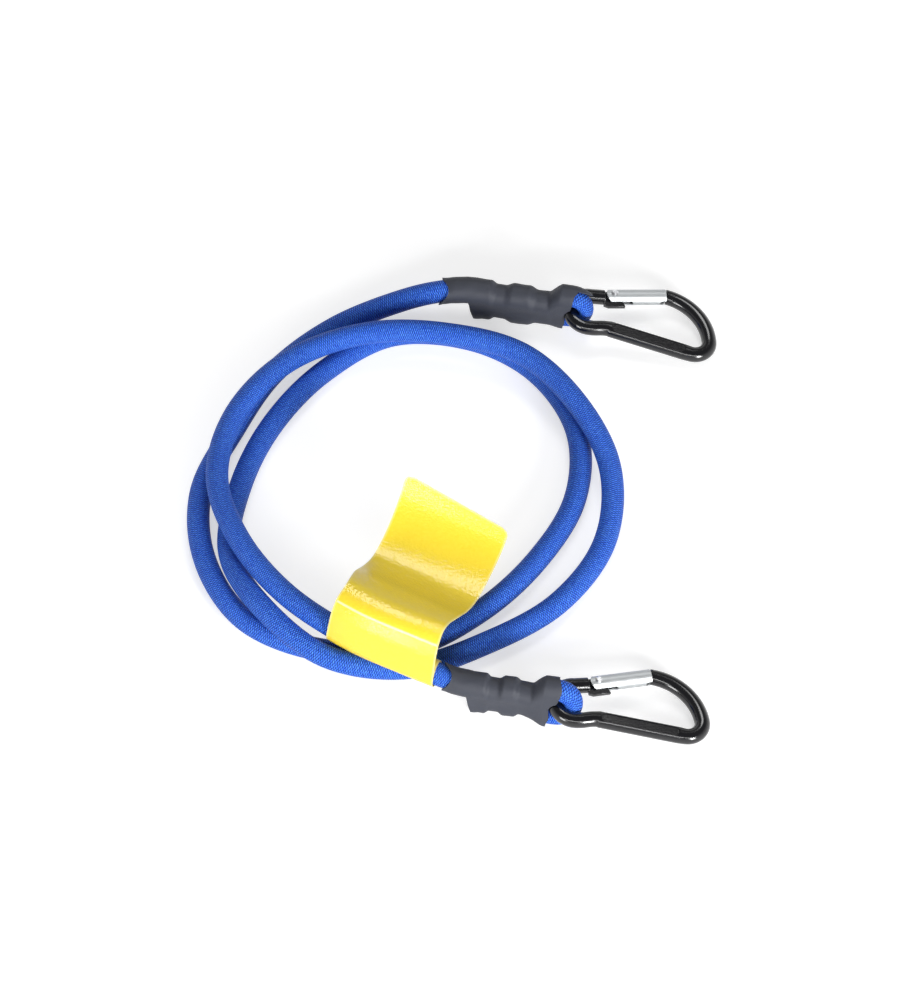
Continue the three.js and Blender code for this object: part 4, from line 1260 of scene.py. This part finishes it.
def gate_piece(name, place):
    """The folded sheet as a grid round the gate's line: open at the hinge and the nose
    for their tongues, with a fine seam between, then given its thickness."""
    mouth = math.asin(slot_half / gate_radius)
    nose_slot_end = gate_length - nose_slot
    stops = {0.0, hinge_slot, nose_slot_end, gate_length - outer_mouth, gate_length}
    stops |= {gate_length * i / 30 for i in range(31)}
    for i in range(5):
        stops |= {hinge_slot + slot_round * i / 4, nose_slot_end - slot_round * i / 4}
    stops = sorted(stops)
    work = bmesh.new()
    grid = []
    for along in stops:
        open_share = max(0.0, 1 - max(0.0, along - hinge_slot) / slot_round)
        open_share = max(open_share, 1 - max(0.0, nose_slot_end - along) / slot_round)
        half = seam_half + (slot_half - seam_half) * math.sqrt(max(0.0, min(1.0, open_share)))
        slot = math.asin(half / gate_radius)
        side = [slot + (math.pi - mouth - slot) * i / side_steps for i in range(side_steps + 1)]
        crown = [math.pi - mouth + 2 * mouth * i / crown_steps for i in range(1, crown_steps)]
        turns = side + crown + [2 * math.pi - turn for turn in side[::-1]]
        row = []
        for turn in turns:
            y, z = -gate_radius * math.cos(turn), gate_radius * math.sin(turn)
            x = along
            if along < gate_heel:
                heel_x = -math.sqrt(max(0.0, gate_heel**2 - y**2))
                x = heel_x + (gate_heel - heel_x) * along / gate_heel
            row.append(work.verts.new((x, y, z)))
        grid.append(row)
    last = len(grid[0]) - 1
    for i in range(len(grid) - 1):
        for k in range(last):
            on_crown = side_steps <= k < side_steps + crown_steps
            if not (on_crown and stops[i] > gate_length - outer_mouth - 1e-6):
                work.faces.new((grid[i][k], grid[i][k + 1], grid[i + 1][k + 1], grid[i + 1][k]))
    bmesh.ops.recalc_face_normals(work, faces=work.faces)
    mesh = bpy.data.meshes.new(f"{name}_folded_gate")
    work.to_mesh(mesh)
    work.free()
    piece = put_in_scene(f"{name}_folded_gate", mesh)
    turn = Matrix.Rotation(gate_angle, 4, "Z")
    mesh.transform(place @ Matrix.Translation((hinge.x, hinge.y, 0)) @ turn)
    mesh.materials.append(folded)
    mesh.shade_smooth()
    sheet = piece.modifiers.new("sheet", "SOLIDIFY")
    sheet.thickness = gate_wall * MM
    sheet.offset = -1
    sheet.use_even_offset = True
    edge = piece.modifiers.new("soften", "BEVEL")
    edge.width = gate_edge * MM
    edge.segments = 2
    edge.limit_method = "ANGLE"
    edge.angle_limit = math.radians(50)
    edge.harden_normals = True
    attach(piece, f"{name}_gate")
    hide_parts(f"{name}_hook_gate")


for name in ends:
    gate_piece(name, hook_frame(name))
    smoothed(f"{name}_gate_rivet", f"{name}_rivet", f"{name}_hook", steel)
    smoothed(f"{name}_latch_pin", f"{name}_pin", f"{name}_gate", steel)
    smoothed(f"{name}_gate_plunger", f"{name}_plunger_piece", f"{name}_plunger", steel)
    smoothed(f"{name}_gate_spring", f"{name}_coil_spring", f"{name}_gate", steel)

# The studio.
# A plain white floor and soft lamps. The floor keeps the shadow, and camera and mirror rays
# see it white. Its sizes and places are in metres.
floor_half = 6
floor_rise = -0.0004
floor_mesh = bpy.data.meshes.new("floor")
floor_mesh.from_pydata(
    [(x * floor_half, y * floor_half, floor_rise) for x, y in ((-1, -1), (1, -1), (1, 1), (-1, 1))],
    [],
    [(0, 1, 2, 3)],
)
floor = put_in_scene("floor", floor_mesh)
paper = bpy.data.materials.new("floor_paper")
paper.use_nodes = True
tree = paper.node_tree
shader = tree.nodes["Principled BSDF"]
shader.inputs["Base Color"].default_value = (0.62, 0.62, 0.62, 1)
shader.inputs["Roughness"].default_value = 0.9
shader.inputs["Specular IOR Level"].default_value = 0.1
glow = tree.nodes.new("ShaderNodeEmission")
path = tree.nodes.new("ShaderNodeLightPath")
seen = calculate(tree, "MAXIMUM", path.outputs["Is Camera Ray"], path.outputs["Is Glossy Ray"])
wire(tree, calculate(tree, "MULTIPLY", seen, 0.6), glow.inputs["Strength"])
both = tree.nodes.new("ShaderNodeAddShader")
wire(tree, shader.outputs[0], both.inputs[0])
wire(tree, glow.outputs[0], both.inputs[1])
wire(tree, both.outputs[0], tree.nodes["Material Output"].inputs["Surface"])
floor_mesh.materials.append(paper)

world = bpy.data.worlds.new("studio")
bpy.context.scene.world = world
world.use_nodes = True
tree = world.node_tree
sky = tree.nodes["Background"]
sky_strength = 0.2
path = tree.nodes.new("ShaderNodeLightPath")
seen = calculate(tree, "MAXIMUM", path.outputs["Is Camera Ray"], path.outputs["Is Glossy Ray"])
seen = calculate(tree, "MAXIMUM", seen, path.outputs["Is Transmission Ray"])
height = tree.nodes.new("ShaderNodeSeparateXYZ")
wire(tree, place_on(tree, "Generated"), height.inputs[0])
backdrop = span(tree, height.outputs[2], 0.15, 0.6, 1.0, sky_strength)
level = tree.nodes.new("ShaderNodeMix")
wire(tree, seen, level.inputs[0])
level.inputs[2].default_value = sky_strength
wire(tree, backdrop, level.inputs[3])
wire(tree, level.outputs[0], sky.inputs["Strength"])
sky.inputs["Color"].default_value = (1, 1, 1, 1)


def lamp(name, place, size, power, tall=None):
    """A soft lamp that faces the middle of the picture; its power is in watts."""
    data = bpy.data.lights.new(name, "AREA")
    data.shape = "RECTANGLE"
    data.size, data.size_y = size, tall or size
    data.energy = power
    made = put_in_scene(name, data)
    made.location = Vector(place)
    made.rotation_mode = "QUATERNION"
    made.rotation_quaternion = (picture_centre - made.location).to_track_quat("-Z", "Y")


lamp("key_lamp", (1.0, -1.5, 0.5), 0.5, 38)
lamp("front_lamp", (-1.0, -1.5, 0.5), 0.6, 15)
lamp("strip_lamp", (0.1, -1.35, 0.9), 1.5, 8, 0.12)
lamp("back_lamp", (0.1, 0.8, 1.7), 0.7, 10)

bpy.context.scene.view_settings.view_transform = "Standard"
